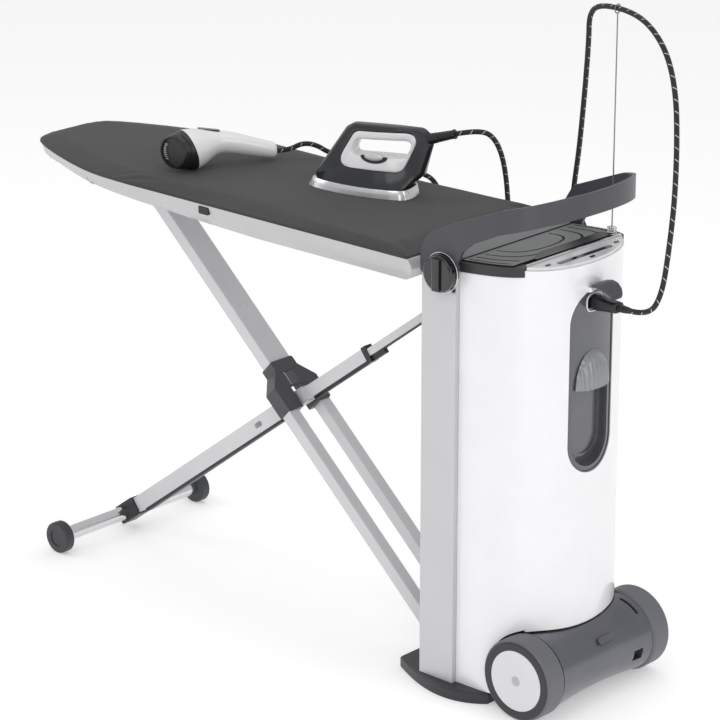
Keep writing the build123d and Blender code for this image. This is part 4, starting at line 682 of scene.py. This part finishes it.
def ironRing(outline, side, inset, sink):
    # One ring round the grip: inset towards the middle and sunk below the side's surface.
    centre = Vector(iron["middle"])
    low, high, share = iron["softened"]
    ring = []
    for spoke in circle(iron["points"]):
        point = rayHit(outline, centre, spoke)
        edge = share + (1 - share) * smoothStep(point.y, low, high) if inset > 0 else 1
        place = point + (centre - point).normalized() * inset * edge
        half = max(ironHalf(place) - sink * edge, iron["least"])
        ring.append(ironPlace(place.x, side * half, place.y))
    return ring


def ironSides(rows):
    # The rings of each row of outline, inset and sink, on the near and on the far side.
    return [[ironRing(outline, side, inset, sink) for outline, inset, sink in rows] for side in (-1, 1)]


def makeIronBody():
    # Glossy shell with rounded edges and a through opening for the grip.
    outline = roundedOutline(iron["outline"], iron["round"])
    frameOutline = roundedOutline(iron["frame"], iron["frameRound"])
    rows = []
    for k in range(iron["steps"]):
        angle = math.pi / 2 * k / (iron["steps"] - 1)
        rows.append((outline, iron["edge"] * (1 - math.cos(angle)), iron["edge"] * (1 - math.sin(angle))))
    near, far = ironSides(rows + [(frameOutline, *row) for row in iron["openingRows"]])
    shell = skin("iron_shell", near[::-1] + far, "iron", "ironBlue", closed=True, sharp=50)
    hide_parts("iron_body")


def makeIronFrame():
    # Pale lining of the grip, from its edge on the body in to the opening.
    frameOutline = roundedOutline(iron["frame"], iron["frameRound"])
    gripOutline = roundedOutline(iron["grip"], iron["gripRound"])
    rows = [(frameOutline, *row) for row in iron["frameRows"]]
    near, far = ironSides(rows + [(gripOutline, *row) for row in iron["gripRows"]])
    frameRing = skin("iron_grip_frame", near + far[::-1], "iron", "whitePearl", closed=True, sharp=50)
    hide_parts("iron_frame")


steamButton = {
    "at": (-0.0635, 0.0765),
    "half": (0.0208, 0.0112),
    "points": 48,
    # Shares of the half sizes: the dome's width and height, then the collar's width, depth and height.
    "domeShares": (0.92, 0.70),
    "collarShares": (1.34, 1.09, 0.10),
    # Growth of the dome's oval and its sink, then share of the collar and its sink.
    "dome": [
        (-0.0002, 0.008),
        (-0.0002, -0.0014),
        (-0.0010, -0.0026),
        (-0.0030, -0.0036),
        (-0.0062, -0.0042),
    ],
    "collar": [
        (1.00, 0.004),
        (1.00, -0.0010),
        (0.94, -0.0013),
        (0.82, -0.0013),
        (0.68, -0.0013),
        (0.50, -0.0013),
    ],
}


def makeIronButton():
    # Pale oval dome, with a dark crescent lying on the curved side under it.
    x, z = steamButton["at"]
    halfX, halfZ = steamButton["half"]
    face = -ironHalf(Vector((x, z)))
    wide, tall = steamButton["domeShares"]
    dome = []
    for grow, sink in steamButton["dome"]:
        reach = ((halfX + grow) * wide, (halfZ + grow) * tall)
        oval = circle(steamButton["points"])
        dome.append([ironPlace(x + reach[0] * c, face + sink, z + reach[1] * s) for c, s in oval])
    button = skin("iron_button_dome", dome, "iron_button_body", "panel", sharp=60)
    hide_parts("iron_button")
    wide, below, above = steamButton["collarShares"]
    collar = []
    for share, sink in steamButton["collar"]:
        ring = []
        for c, s in circle(steamButton["points"]):
            tall = below if s < 0 else above
            place = Vector((x + halfX * wide * share * c, z + halfZ * tall * share * s))
            ring.append(ironPlace(place.x, sink - ironHalf(place), place.y))
        collar.append(ring)
    skin("iron_button_collar", collar, "iron", "darkEdge", sharp=60)


soleplate = {
    "outline": [
        (-0.213, 0.0),
        (-0.2115, 0.0042),
        (-0.205, 0.0105),
        (-0.190, 0.0200),
        (-0.165, 0.0308),
        (-0.130, 0.0397),
        (-0.090, 0.0455),
        (-0.055, 0.0470),
        (-0.020, 0.0446),
        (-0.002, 0.0400),
        (0.007, 0.0345),
        (0.0125, 0.0220),
        (0.0140, 0.0),
    ],
    "middle": (-0.06, 0),
    # Height, then shares of the length and of the width.
    "rows": [
        (0.0002, 0.975, 0.965),
        (0.0016, 1.0, 1.0),
        (0.0100, 0.965, 0.978),
        (0.0182, 0.930, 0.956),
        (0.0190, 0.922, 0.945),
    ],
}


def makeIronSole():
    # Brushed sole that flares towards the board, wider than the body above it.
    corners = [Vector(corner) for corner in soleplate["outline"]]
    outline = corners + [Vector((p.x, -p.y)) for p in reversed(corners[1:-1])]
    centre = Vector(soleplate["middle"])
    points = [rayHit(outline, centre, spoke) - centre for spoke in circle(iron["points"], 0.5)]
    rings = []
    for z, shareX, shareY in soleplate["rows"]:
        rings.append([ironPlace(centre.x + p.x * shareX, p.y * shareY, z) for p in points])
    sole = skin("iron_sole_plate", rings, "iron", "steel", sharp=50)
    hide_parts("iron_sole")


sleeve = {
    "start": (0.040, 0, 0.1168),
    "end": (0.095, 0, 0.133),
    "radii": (0.0108, 0.0084),
    "steps": 44,
    "points": 28,
    # The ribs lie between these shares of the length, and the end collar from the next one on.
    "ribbed": (0.30, 0.90),
    "groove": 0.0011,
    "collarFrom": 0.94,
    "collar": 0.0012,
}


def makeIronSleeve():
    # Ribbed strain relief of the iron's hose.
    start = ironPlace(*sleeve["start"])
    reach = ironPlace(*sleeve["end"]) - start
    side = reach.cross(Vector((0, 0, 1))).normalized()
    up = side.cross(reach.normalized())
    first, last = sleeve["radii"]
    low, high = sleeve["ribbed"]
    steps = sleeve["steps"]
    rings = []
    for k in range(steps + 1):
        share = k / steps
        radius = first + (last - first) * share
        if low < share < high and k % 4 in (0, 1):
            radius -= sleeve["groove"]
        if share > sleeve["collarFrom"]:
            radius += sleeve["collar"]
        if k in (0, steps):
            radius -= sleeve["collar"]
        rings.append(roundRing(start + reach * share, side, up, radius, sleeve["points"]))
    relief = skin("iron_sleeve_relief", rings, "iron", "darkEdge", sharp=35)
    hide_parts("iron_sleeve")


makeIronBody()
makeIronFrame()
makeIronButton()
makeIronSole()
makeIronSleeve()
print("iron done")

steamer = {
    "neck": (-0.6707, -0.0037, 0.8980),
    "bend": (-0.6876, -0.0343, 0.8972),
    "base": (-0.6942, -0.0804, 0.8925),
    "face": (-0.6950, -0.1210, 0.8950),
    "handle": [
        # x, y, z, radius, heading, dip of each ring down the handle
        (-0.6707, -0.0037, 0.8976, 0.0224, 61.1, 12),
        (-0.6596, 0.0165, 0.8928, 0.0209, 61.1, 14.5),
        (-0.6480, 0.0375, 0.8865, 0.0195, 61.1, 14.9),
        (-0.6359, 0.0594, 0.8800, 0.0180, 61.1, 14.9),
        (-0.6258, 0.0777, 0.8745, 0.0168, 61.1, 14.9),
        (-0.6219, 0.0847, 0.8724, 0.0156, 61.1, 10),
        (-0.6201, 0.0881, 0.8714, 0.0132, 61.1, 5),
        (-0.6193, 0.0895, 0.8710, 0.0088, 61.1, 0),
        (-0.6192, 0.0896, 0.8710, 0.0064, 61.1, 0),
    ],
    "swell": [
        # share from neck to head: radius, heading, dip
        (0.0, 0.0224, 61.1, 12),
        (0.15, 0.0233, 63, 8),
        (0.30, 0.0256, 66, 3),
        (0.45, 0.0295, 68, -3),
        (0.60, 0.0342, 70, -8),
        (0.75, 0.0384, 71.5, -12),
        (0.90, 0.0411, 72.5, -14.5),
        (1.0, 0.0420, 73.2, -15.7),
    ],
    # Inset and shift of the rings where the body meets the head.
    "lip": [(0.006, 0.002), (0.0, 0.0006)],
    # Share from base to face: radius, heading, dip.
    "head": [(0.0, 0.0420, 73.2, -15.7), (1.0, 0.0330, 95.9, -2.4)],
    # Share from base to face, shrink and shift of each ring.
    "headRows": [
        (0.0, 0.006, 0.0015),
        (0.0, 0.0008, -0.0002),
        (0.02, 0.0, 0.0),
        (0.20, 0.0002, 0.0),
        (0.40, 0.0004, 0.0),
        (0.44, 0.0016, 0.0),
        (0.48, 0.0008, 0.0),
        (0.70, 0.0, 0.0),
        (0.90, 0.0002, 0.0),
        (1.0, 0.0008, 0.0),
        (1.0, 0.0024, -0.0010),
        (1.0, 0.0046, -0.0010),
        (1.0, 0.0064, 0.0040),
        (1.0, 0.0320, 0.0040),
    ],
    "floor": 0.8523,
    "points": 72,
}


def steamerAxes(heading, dip):
    heading = math.radians(heading)
    dip = math.radians(dip)
    way = Vector((math.cos(heading) * math.cos(dip), math.sin(heading) * math.cos(dip), -math.sin(dip)))
    across = Vector((-math.sin(heading), math.cos(heading), 0))
    return way, across, way.cross(across)


def steamerRing(centre, radius, heading, dip, shift=0.0):
    # Circle across the steamer, flattened where it lies on the cover.
    way, across, up = steamerAxes(heading, dip)
    ring = []
    for c, s in circle(steamer["points"]):
        point = Vector(centre) + way * shift + across * radius * c + up * radius * s
        point.z = max(point.z, steamer["floor"])
        ring.append(point)
    return ring


def makeSteamer():
    # White body: a straight handle that bends and swells into the head.
    neck, bend, base = (Vector(steamer[key]) for key in ("neck", "bend", "base"))
    radius, heading, dip = steamer["swell"][-1][1:]
    rings = [steamerRing(base, radius - lip, heading, dip, shift) for lip, shift in steamer["lip"]]
    for share, *row in reversed(steamer["swell"][1:-1]):
        rings.append(steamerRing(arc(neck, bend, base, share), *row))
    for x, y, z, *row in steamer["handle"]:
        rings.append(steamerRing((x, y, z), *row))
    shell = skin("steamer_shell", rings, "steamer", "whiteGloss", sharp=45)
    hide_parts("steamer_body")


def makeSteamerHead():
    # Black comb head: it narrows towards an open face, turned further than the body.
    base = Vector(steamer["base"])
    face = Vector(steamer["face"])
    rings = []
    for share, shrink, shift in steamer["headRows"]:
        radius, heading, dip = along(steamer["head"], share)
        rings.append(steamerRing(base.lerp(face, share), radius - shrink, heading, dip, shift))
    head = skin("steamer_comb_head", rings, "steamer", "darkEdge", sharp=35)
    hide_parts("steamer_head")
    radius, heading, dip = steamer["head"][-1][1:]
    makeComb(face, radius - comb["inset"], heading, dip)


comb = {
    "teeth": 9,
    "inset": 0.0064,
    "half": 0.015,
    "tooth": (0.0060, 0.0010, 0.0034),
    "fromEdge": 0.0065,
    "proud": 0.0010,
    "bevel": 0.0003,
}


def makeComb(face, radius, heading, dip):
    # Short stiff ribs in a column at one side of the face.
    way, across, up = steamerAxes(heading, dip)
    wide, tall, deep = comb["tooth"]
    bm = bmesh.new()
    for k in range(comb["teeth"]):
        height = comb["half"] * (2 * k / (comb["teeth"] - 1) - 1)
        out = math.sqrt(radius ** 2 - height ** 2) - comb["fromEdge"]
        middle = face + across * out + up * height + way * comb["proud"]
        for vert in bmesh.ops.create_cube(bm, size=1)["verts"]:
            x, y, z = vert.co
            vert.co = middle + across * x * wide + up * y * tall + way * z * deep
    bevelAll(bm, comb["bevel"], 2)
    finishMesh(bm, "steamer_comb_ribs", "steamer", "ribGrey")


makeSteamer()
makeSteamerHead()
print("steamer done")

board = {
    "nose": -1.137,
    "rear": -0.0086,
    "length": 1.133,
    "half": 0.204,
    # Control points of the smooth plan outline, as shares of the length and of the half width.
    "smooth": [(0.0, 0.33), (0.03, 0.56), (0.22, 0.95), (0.33, 1.0), (0.40, 1.0)],
    "steps": 12,
}


def boardPoints(shares, side):
    return [Vector((board["nose"] + a * board["length"], side * b * board["half"])) for a, b in shares]


def boardOutline(inset):
    # Smooth outline from the near rear corner round the nose to the far one, pulled in by the inset.
    first, last = (Vector((board["rear"], side * board["half"])) for side in (-1, 1))
    chain = [first, *reversed(boardPoints(board["smooth"], -1)), *boardPoints(board["smooth"], 1), last]
    dense = [first]
    for before, middle, after in zip(chain, chain[1:], chain[2:]):
        start = (before + middle) / 2
        end = (middle + after) / 2
        dense += [arc(start, middle, end, k / board["steps"]) for k in range(board["steps"])]
    dense += [end, last]
    outline = []
    for i, point in enumerate(dense):
        way = (dense[min(i + 1, len(dense) - 1)] - dense[max(i - 1, 0)]).normalized()
        outline.append(point + Vector((way.y, -way.x)) * inset)
    for i in (0, -1):
        outline[i].x -= inset
    return outline


rim = {
    "top": 0.8377,
    "inset": 0.004,
    "depth": 0.0447,
    "draft": 0.015,
    "wall": 0.002,
    # Cuts across and along the board, so that the plain plates of the node can bend.
    "first": -1.128,
    "step": 0.015,
    "rows": 49,
    "columns": 7,
    # A vertex this near the outline and facing sideways this much belongs to the wall.
    "reach": 0.045,
    "sideways": 0.2,
    # Place along the board and depth of the rim there.
    "depths": [
        (-1.138, 0.020),
        (-1.01, 0.018),
        (-0.90, 0.0225),
        (-0.79, 0.028),
        (-0.715, 0.032),
        (-0.54, 0.040),
        (-0.40, 0.0447),
    ],
}


def nearestEdge(outline, flat):
    # Distance to the nearest place on the outline, that place, and the way inward there.
    best = None
    for a, b in zip(outline, outline[1:]):
        edge = b - a
        share = min(max((flat - a).dot(edge) / edge.length_squared, 0), 1)
        place = a + edge * share
        gap = (flat - place).length
        if best is None or gap < best[0]:
            best = (gap, place, Vector((edge.y, -edge.x)).normalized())
    return best


def cutAcross(bm, place, normal):
    whole = bm.verts[:] + bm.edges[:] + bm.faces[:]
    bmesh.ops.bisect_plane(bm, geom=whole, plane_co=place, plane_no=normal)


def makeRim():
    # Rim with the plan of its wall drawn smooth, and shallower towards the nose.
    bm = bmesh.new()
    bm.from_mesh(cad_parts["board_rim"].data)
    bmesh.ops.remove_doubles(bm, verts=bm.verts, dist=0.00002)
    rows = []
    for k in range(rim["rows"]):
        x = rim["first"] + rim["step"] * k
        cutAcross(bm, (x, 0, 0), (1, 0, 0))
        rows.append((x, rim["top"] - min(v.co.z for v in bm.verts if abs(v.co.x - x) < 0.0001)))
    for k in range(-rim["columns"], rim["columns"] + 1):
        cutAcross(bm, (0, rim["step"] * k, 0), (0, 1, 0))
    bm.normal_update()
    smooth = boardOutline(0)
    inside = rim["inset"] + rim["wall"] * 2
    for vert in bm.verts:
        if vert.co.x > rim["depths"][-1][0]:
            continue
        flat = Vector((vert.co.x, vert.co.y))
        deep = max(rim["top"] - vert.co.z, 0)
        lower = deep * min(along(rim["depths"], flat.x)[0] / along(rows, flat.x)[0], 1)
        gap, place, inward = nearestEdge(smooth, flat)
        facing = Vector((vert.normal.x, vert.normal.y))
        if gap < rim["reach"] and facing.length > rim["sideways"]:
            wall = rim["wall"] if facing.dot(inward) > 0 else 0
            flat = place + inward * (rim["inset"] + rim["draft"] * lower / rim["depth"] + wall)
        elif gap < rim["reach"] and (flat - place).dot(inward) < inside:
            flat = place + inward * inside
        vert.co = Vector((flat.x, flat.y, vert.co.z if deep == 0 else rim["top"] - lower))
    obj = finishMesh(bm, "board_rim_shell", "board", "silverRim", 32)
    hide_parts("board_rim")


cover = {
    # Inset and height of each ring of the pad.
    "rings": [
        (0.0015, 0.838),
        (0.0, 0.8405),
        (0.0015, 0.8435),
        (0.006, 0.8462),
        (0.013, 0.8475),
        (0.024, 0.848),
    ],
    "hold": 0.004,
    "voxel": 0.006,
    "pressure": 4.0,
    "rise": 0.005,
    "frames": 20,
}


def makeCover():
    # Padded cover: the pad is blown up a little by cloth simulation, its lower edge held on the rim.
    rings = [[Vector((p.x, p.y, z)) for p in boardOutline(inset)] for inset, z in cover["rings"]]
    obj = skin("padded_cover", rings, "board", "cover")
    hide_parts("board_cover")
    remesh = obj.modifiers.new("Remesh", "REMESH")
    remesh.mode = "VOXEL"
    remesh.voxel_size = cover["voxel"]
    applyModifiers(obj)
    start = [v.co.copy() for v in obj.data.vertices]
    low = cover["rings"][0][1]
    held = obj.vertex_groups.new(name="held")
    held.add([v.index for v in obj.data.vertices if v.co.z < low + cover["hold"]], 1.0, "REPLACE")
    cloth = obj.modifiers.new("Cloth", "CLOTH")
    cloth.settings.use_pressure = True
    cloth.settings.uniform_pressure_force = cover["pressure"]
    cloth.settings.effector_weights.gravity = 0
    cloth.settings.vertex_group_mass = "held"
    cloth.settings.quality = 3
    cloth.collision_settings.use_collision = False
    for number in range(1, cover["frames"] + 1):
        bpy.context.scene.frame_set(number)
    applyModifiers(obj)
    for vert, place in zip(obj.data.vertices, start):
        move = vert.co - place
        if move.length > cover["rise"]:
            vert.co = place + move * (cover["rise"] / move.length)
    bpy.context.scene.frame_set(1)
    smooth = obj.modifiers.new("Subdivision", "SUBSURF")
    smooth.levels = 1
    smooth.render_levels = 1
    for polygon in obj.data.polygons:
        polygon.use_smooth = True


def applyModifiers(obj):
    depsgraph = bpy.context.evaluated_depsgraph_get()
    mesh = bpy.data.meshes.new_from_object(obj.evaluated_get(depsgraph))
    old = obj.data
    obj.modifiers.clear()
    obj.data = mesh
    bpy.data.meshes.remove(old)


makeRim()
makeCover()
print("cover done")


def matLevel(x):
    # Top of the sloping rest mat.
    return rest["level"] + matSlope * (x - rest["levelAt"])


rest = {
    "level": 0.848,
    "levelAt": 0.090,
    "recessOutline": [(0.2035, -0.104), (0.1735, -0.050), (0.1735, 0.127), (0.2035, 0.127)],
    "recessRound": 0.010,
    # Inset of each ring of the dark liner, painted shade in the recess, and its lift over the mat.
    "shadeLinerRows": [
        (-0.0008, -0.0010),
        (-0.0004, 0.0002),
        (0.0004, 0.0006),
        (0.0022, 0.0006),
        (0.0032, 0.0004),
        (0.0090, 0.0003),
    ],
    "pad": [(0.0835, -0.157), (0.0035, -0.157), (0.0035, 0.157), (0.0835, 0.157)],
    "padRound": 0.012,
    # Shares of x and y that each ring of the pad keeps, and its height.
    "padRows": [(1, 1, 0.8489), (1, 1, 0.8495), (0.9994, 0.9964, 0.8499)],
}


def makeRest():
    # Dark liner laid in the recess at the front of the mat as painted shade, and the pad that carries the
    # mat back to the handle.
    outline = roundedOutline(rest["recessOutline"], rest["recessRound"])
    centre = sum(outline, Vector((0, 0))) / len(outline)
    rings = []
    for inset, lift in rest["shadeLinerRows"]:
        places = [point + (centre - point).normalized() * inset for point in outline]
        rings.append([Vector((place.x, place.y, matLevel(place.x) + lift)) for place in places])
    # The near-black liner is painted shade in the recess.
    skin("rest_recess_shade_liner", rings, "tower", "darkEdge", sharp=30)
    outline = roundedOutline(rest["pad"], rest["padRound"])
    rings = []
    for shareX, shareY, z in rest["padRows"]:
        rings.append([Vector((p.x * shareX, p.y * shareY, z)) for p in outline])
    skin("rest_mat_back", rings, "tower", "mat", sharp=30)


def makeBead(name, path, radius, body, look):
    # Thin bead that follows a closed path.
    rings = []
    side = (path[1] - path[-1]).normalized().orthogonal().normalized()
    for before, point, after in zip(path[-1:] + path, path, path[1:] + path[:1]):
        way = (after - before).normalized()
        side = (side - way * side.dot(way)).normalized()
        rings.append(roundRing(point, side, way.cross(side), radius, 10))
    skin(name, rings, body, look, closed=True, sharp=80)


def sideRing(piece, y, radius, count):
    # Circle on a side wall of the tower, round the piece's place in x and z.
    x, z = piece["at"]
    return [Vector((x + radius * c, y, z + radius * s)) for c, s in circle(count)]


# Radius of each ring and its distance from the middle plane.
knob = {"at": (0.057, 0.823), "plateRing": (0.0372, 0.1806), "rimRing": (0.0338, 0.1903), "bead": 0.0010}


def makeKnobRings():
    # Bright rings round each knob, one on the tower's plate and one on the knob's rim.
    for side, label in ((-1, "near"), (1, "far")):
        for key, body in (("plateRing", "tower"), ("rimRing", label + "_knob_body")):
            radius, y = knob[key]
            path = sideRing(knob, side * y, radius, 64)
            makeBead(label + "_knob_" + key, path, knob["bead"], body, "chrome")


hood = {
    "power": 2.6,
    "points": 56,
    "rows": [
        # x, z, half width, half thickness, lean in degrees
        (0.2645, 0.7990, 0.0190, 0.0022, 60),
        (0.2670, 0.8030, 0.0220, 0.0036, 45),
        (0.2740, 0.8072, 0.0250, 0.0044, 22),
        (0.2860, 0.8090, 0.0262, 0.0046, 2),
        (0.2980, 0.8066, 0.0250, 0.0046, -22),
        (0.3070, 0.8010, 0.0222, 0.0044, -42),
        (0.3125, 0.7940, 0.0180, 0.0038, -60),
        (0.3145, 0.7880, 0.0140, 0.0026, -72),
    ],
}


def makeHood():
    # Socket cover: a thick cap like a short beak that hooks down over the plug.
    rings = []
    for x, z, halfY, halfT, lean in hood["rows"]:
        rings.append(superRing(x, z, halfY, halfT, hood["power"], hood["points"], -math.radians(lean)))
    obj = skin("socket_hood", rings, "flap", "charcoal", sharp=50)
    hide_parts("socket_flap")


socket = {"x": 0.2638, "z": 0.771, "half": (0.0215, 0.0165), "power": 0.7, "bead": 0.0014}


def makeSocketRing():
    # Pale bead round the socket, a rounded rectangle.
    path = []
    for c, s in circle(64):
        y = math.copysign(abs(c) ** socket["power"], c) * socket["half"][0]
        z = math.copysign(abs(s) ** socket["power"], s) * socket["half"][1]
        path.append(Vector((socket["x"], y, socket["z"] + z)))
    makeBead("socket_ring", path, socket["bead"], "tower", "whitePearl")


grip = {
    "x": 0.2622,
    "low": 0.611,
    "high": 0.6805,
    "half": 0.047,
    "bulge": 0.0190,
    "lip": 0.0012,
    "pitch": 0.0092,
    "rib": 0.0013,
    # Shares of the height between which the ribs lie, and the rings there are.
    "ribbed": (0.01, 0.97),
    "levels": 16,
    "across": 160,
}


def makeGrip():
    # Finger grip: a ribbed shell that swells out towards its lower lip.
    half = grip["half"]
    low, high = grip["ribbed"]
    rings = []
    levels = [0.0, 0.004] + [0.02 + 0.98 * (k / grip["levels"]) ** 1.3 for k in range(grip["levels"] + 1)]
    for level in levels:
        front = []
        back = []
        for k in range(grip["across"] + 1):
            y = -half * math.cos(math.pi * k / grip["across"])
            tall = (grip["high"] - grip["low"]) * math.sqrt(max(1 - (y / half) ** 2, 0))
            z = grip["low"] + tall * level
            out = grip["bulge"] * math.sqrt(max(1 - level ** 2.2, 0)) * (1 - abs(y / half) ** 3)
            if level == 0:
                out -= grip["lip"]
            if low < level < high:
                out += grip["rib"] * math.cos(2 * math.pi * y / grip["pitch"])
            front.append(Vector((grip["x"] + max(out, 0.0002), y, z)))
            back.append(Vector((grip["x"] - 0.0006, y, z)))
        rings.append(front + back[::-1])
    obj = skin("tank_grip_shell", rings, "tank", "grip", sharp=35)
    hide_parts("tank_grip")


strips = {
    # Foot of the leg in x and z, and the slope of its line.
    "foot": (-0.975, 0.033),
    "slope": (0.7996, 0.6005),
    "bevel": 0.0012,
    "rows": [
        # name, start and end along the leg, lowest and highest across it, half width
        ("leg_plank_underside_shade", 0.060, 0.560, -0.0236, -0.0160, 0.0085),
        ("leg_profile_underside_shade", 0.874, 1.085, -0.0140, -0.0072, 0.0052),
    ],
}


def makeStrips():
    # Dark strips along the underside of the foot leg and of the thin leg that slides in it, painted shade
    # under them.
    run, climb = Vector(strips["slope"]).normalized()
    for name, start, stop, low, high, half in strips["rows"]:
        bm = bmesh.new()
        for vert in bmesh.ops.create_cube(bm, size=1)["verts"]:
            a = start if vert.co.x < 0 else stop
            b = low if vert.co.z < 0 else high
            x = strips["foot"][0] + a * run - b * climb
            z = strips["foot"][1] + a * climb + b * run
            vert.co = Vector((x, half if vert.co.y > 0 else -half, z))
        bevelAll(bm, strips["bevel"], 3)
        # Each strip is painted shade on the leg's underside.
        finishMesh(bm, name, "leg_b", "satinDark", 40)


# Each ring's radius and distance from the middle plane.
dimple = {
    "at": (0.245, 0.079),
    "points": 40,
    "rows": [(0.0100, 0.1806), (0.0098, 0.18085), (0.0088, 0.1809), (0.0070, 0.1806), (0.0030, 0.1803)],
}
screw = {
    "at": (0.0800, 0.7930),
    "points": 24,
    "rows": [(0.0042, 0.1736), (0.0042, 0.1760), (0.0034, 0.1768), (0.0012, 0.1768), (0.0008, 0.1762)],
}


def makeTurned(name, piece, side, body, look):
    rings = [sideRing(piece, side * y, radius, piece["points"]) for radius, y in piece["rows"]]
    skin(name, rings, body, look, sharp=30)


def makeDimples():
    # Shallow dimple in each wheel disc, and the screw in the column.
    for side, label in ((-1, "near"), (1, "far")):
        makeTurned(label + "_disc_dimple", dimple, side, label + "_wheel", "discGrey")
        makeTurned(label + "_column_screw", screw, side, "tower", "darkEdge")


makeRest()
makeKnobRings()
makeHood()
makeSocketRing()
makeGrip()
makeStrips()
makeDimples()
print("tower details done")


def makeFloor():
    mesh = bpy.data.meshes.new("pale_floor")
    bm = bmesh.new()
    bmesh.ops.create_grid(bm, x_segments=1, y_segments=1, size=12)
    bmesh.ops.translate(bm, verts=bm.verts, vec=(0, 0, -0.0002))
    bm.to_mesh(mesh)
    bm.free()
    floor = bpy.data.objects.new("pale_floor", mesh)
    bpy.context.scene.collection.objects.link(floor)
    material, shader = startMaterial("pale_floor", 0.7)
    shader.inputs["Base Color"].default_value = toLinear("fbfbfb")
    shader.inputs["Emission Color"].default_value = toLinear("ffffff")
    shader.inputs["Emission Strength"].default_value = 0.30
    mesh.materials.append(material)


def addArea(name, place, target, size, power):
    data = bpy.data.lights.new(name, "AREA")
    data.shape = "RECTANGLE"
    data.size, data.size_y = size
    data.energy = power
    light = bpy.data.objects.new(name, data)
    light.location = place
    light.rotation_euler = (Vector(target) - Vector(place)).to_track_quat("-Z", "Y").to_euler()
    bpy.context.scene.collection.objects.link(light)


def makeLight():
    world = bpy.data.worlds.new("studio")
    bpy.context.scene.world = world
    world.use_nodes = True
    world.node_tree.nodes["Background"].inputs["Color"].default_value = toLinear("ffffff")
    world.node_tree.nodes["Background"].inputs["Strength"].default_value = 0.62
    addArea("key_light", (1.0, -3.5, 3.6), (-0.3, 0, 0.6), (2.4, 2.4), 24)
    addArea("left_light", (-3.5, -1.5, 2.4), (-0.2, 0, 0.6), (1.6, 2.6), 16)
    addArea("right_light", (3.2, 0.6, 2.2), (0.1, 0, 0.6), (0.9, 2.6), 14)
    addArea("low_light", (2.6, -2.4, 0.9), (-0.5, 0, 0.4), (1.4, 1.2), 9)
    addArea("top_light", (-0.3, 0.6, 3.8), (-0.3, 0, 0.6), (3.0, 2.0), 14)
    bpy.context.scene.view_settings.view_transform = "Standard"


makeFloor()
makeLight()
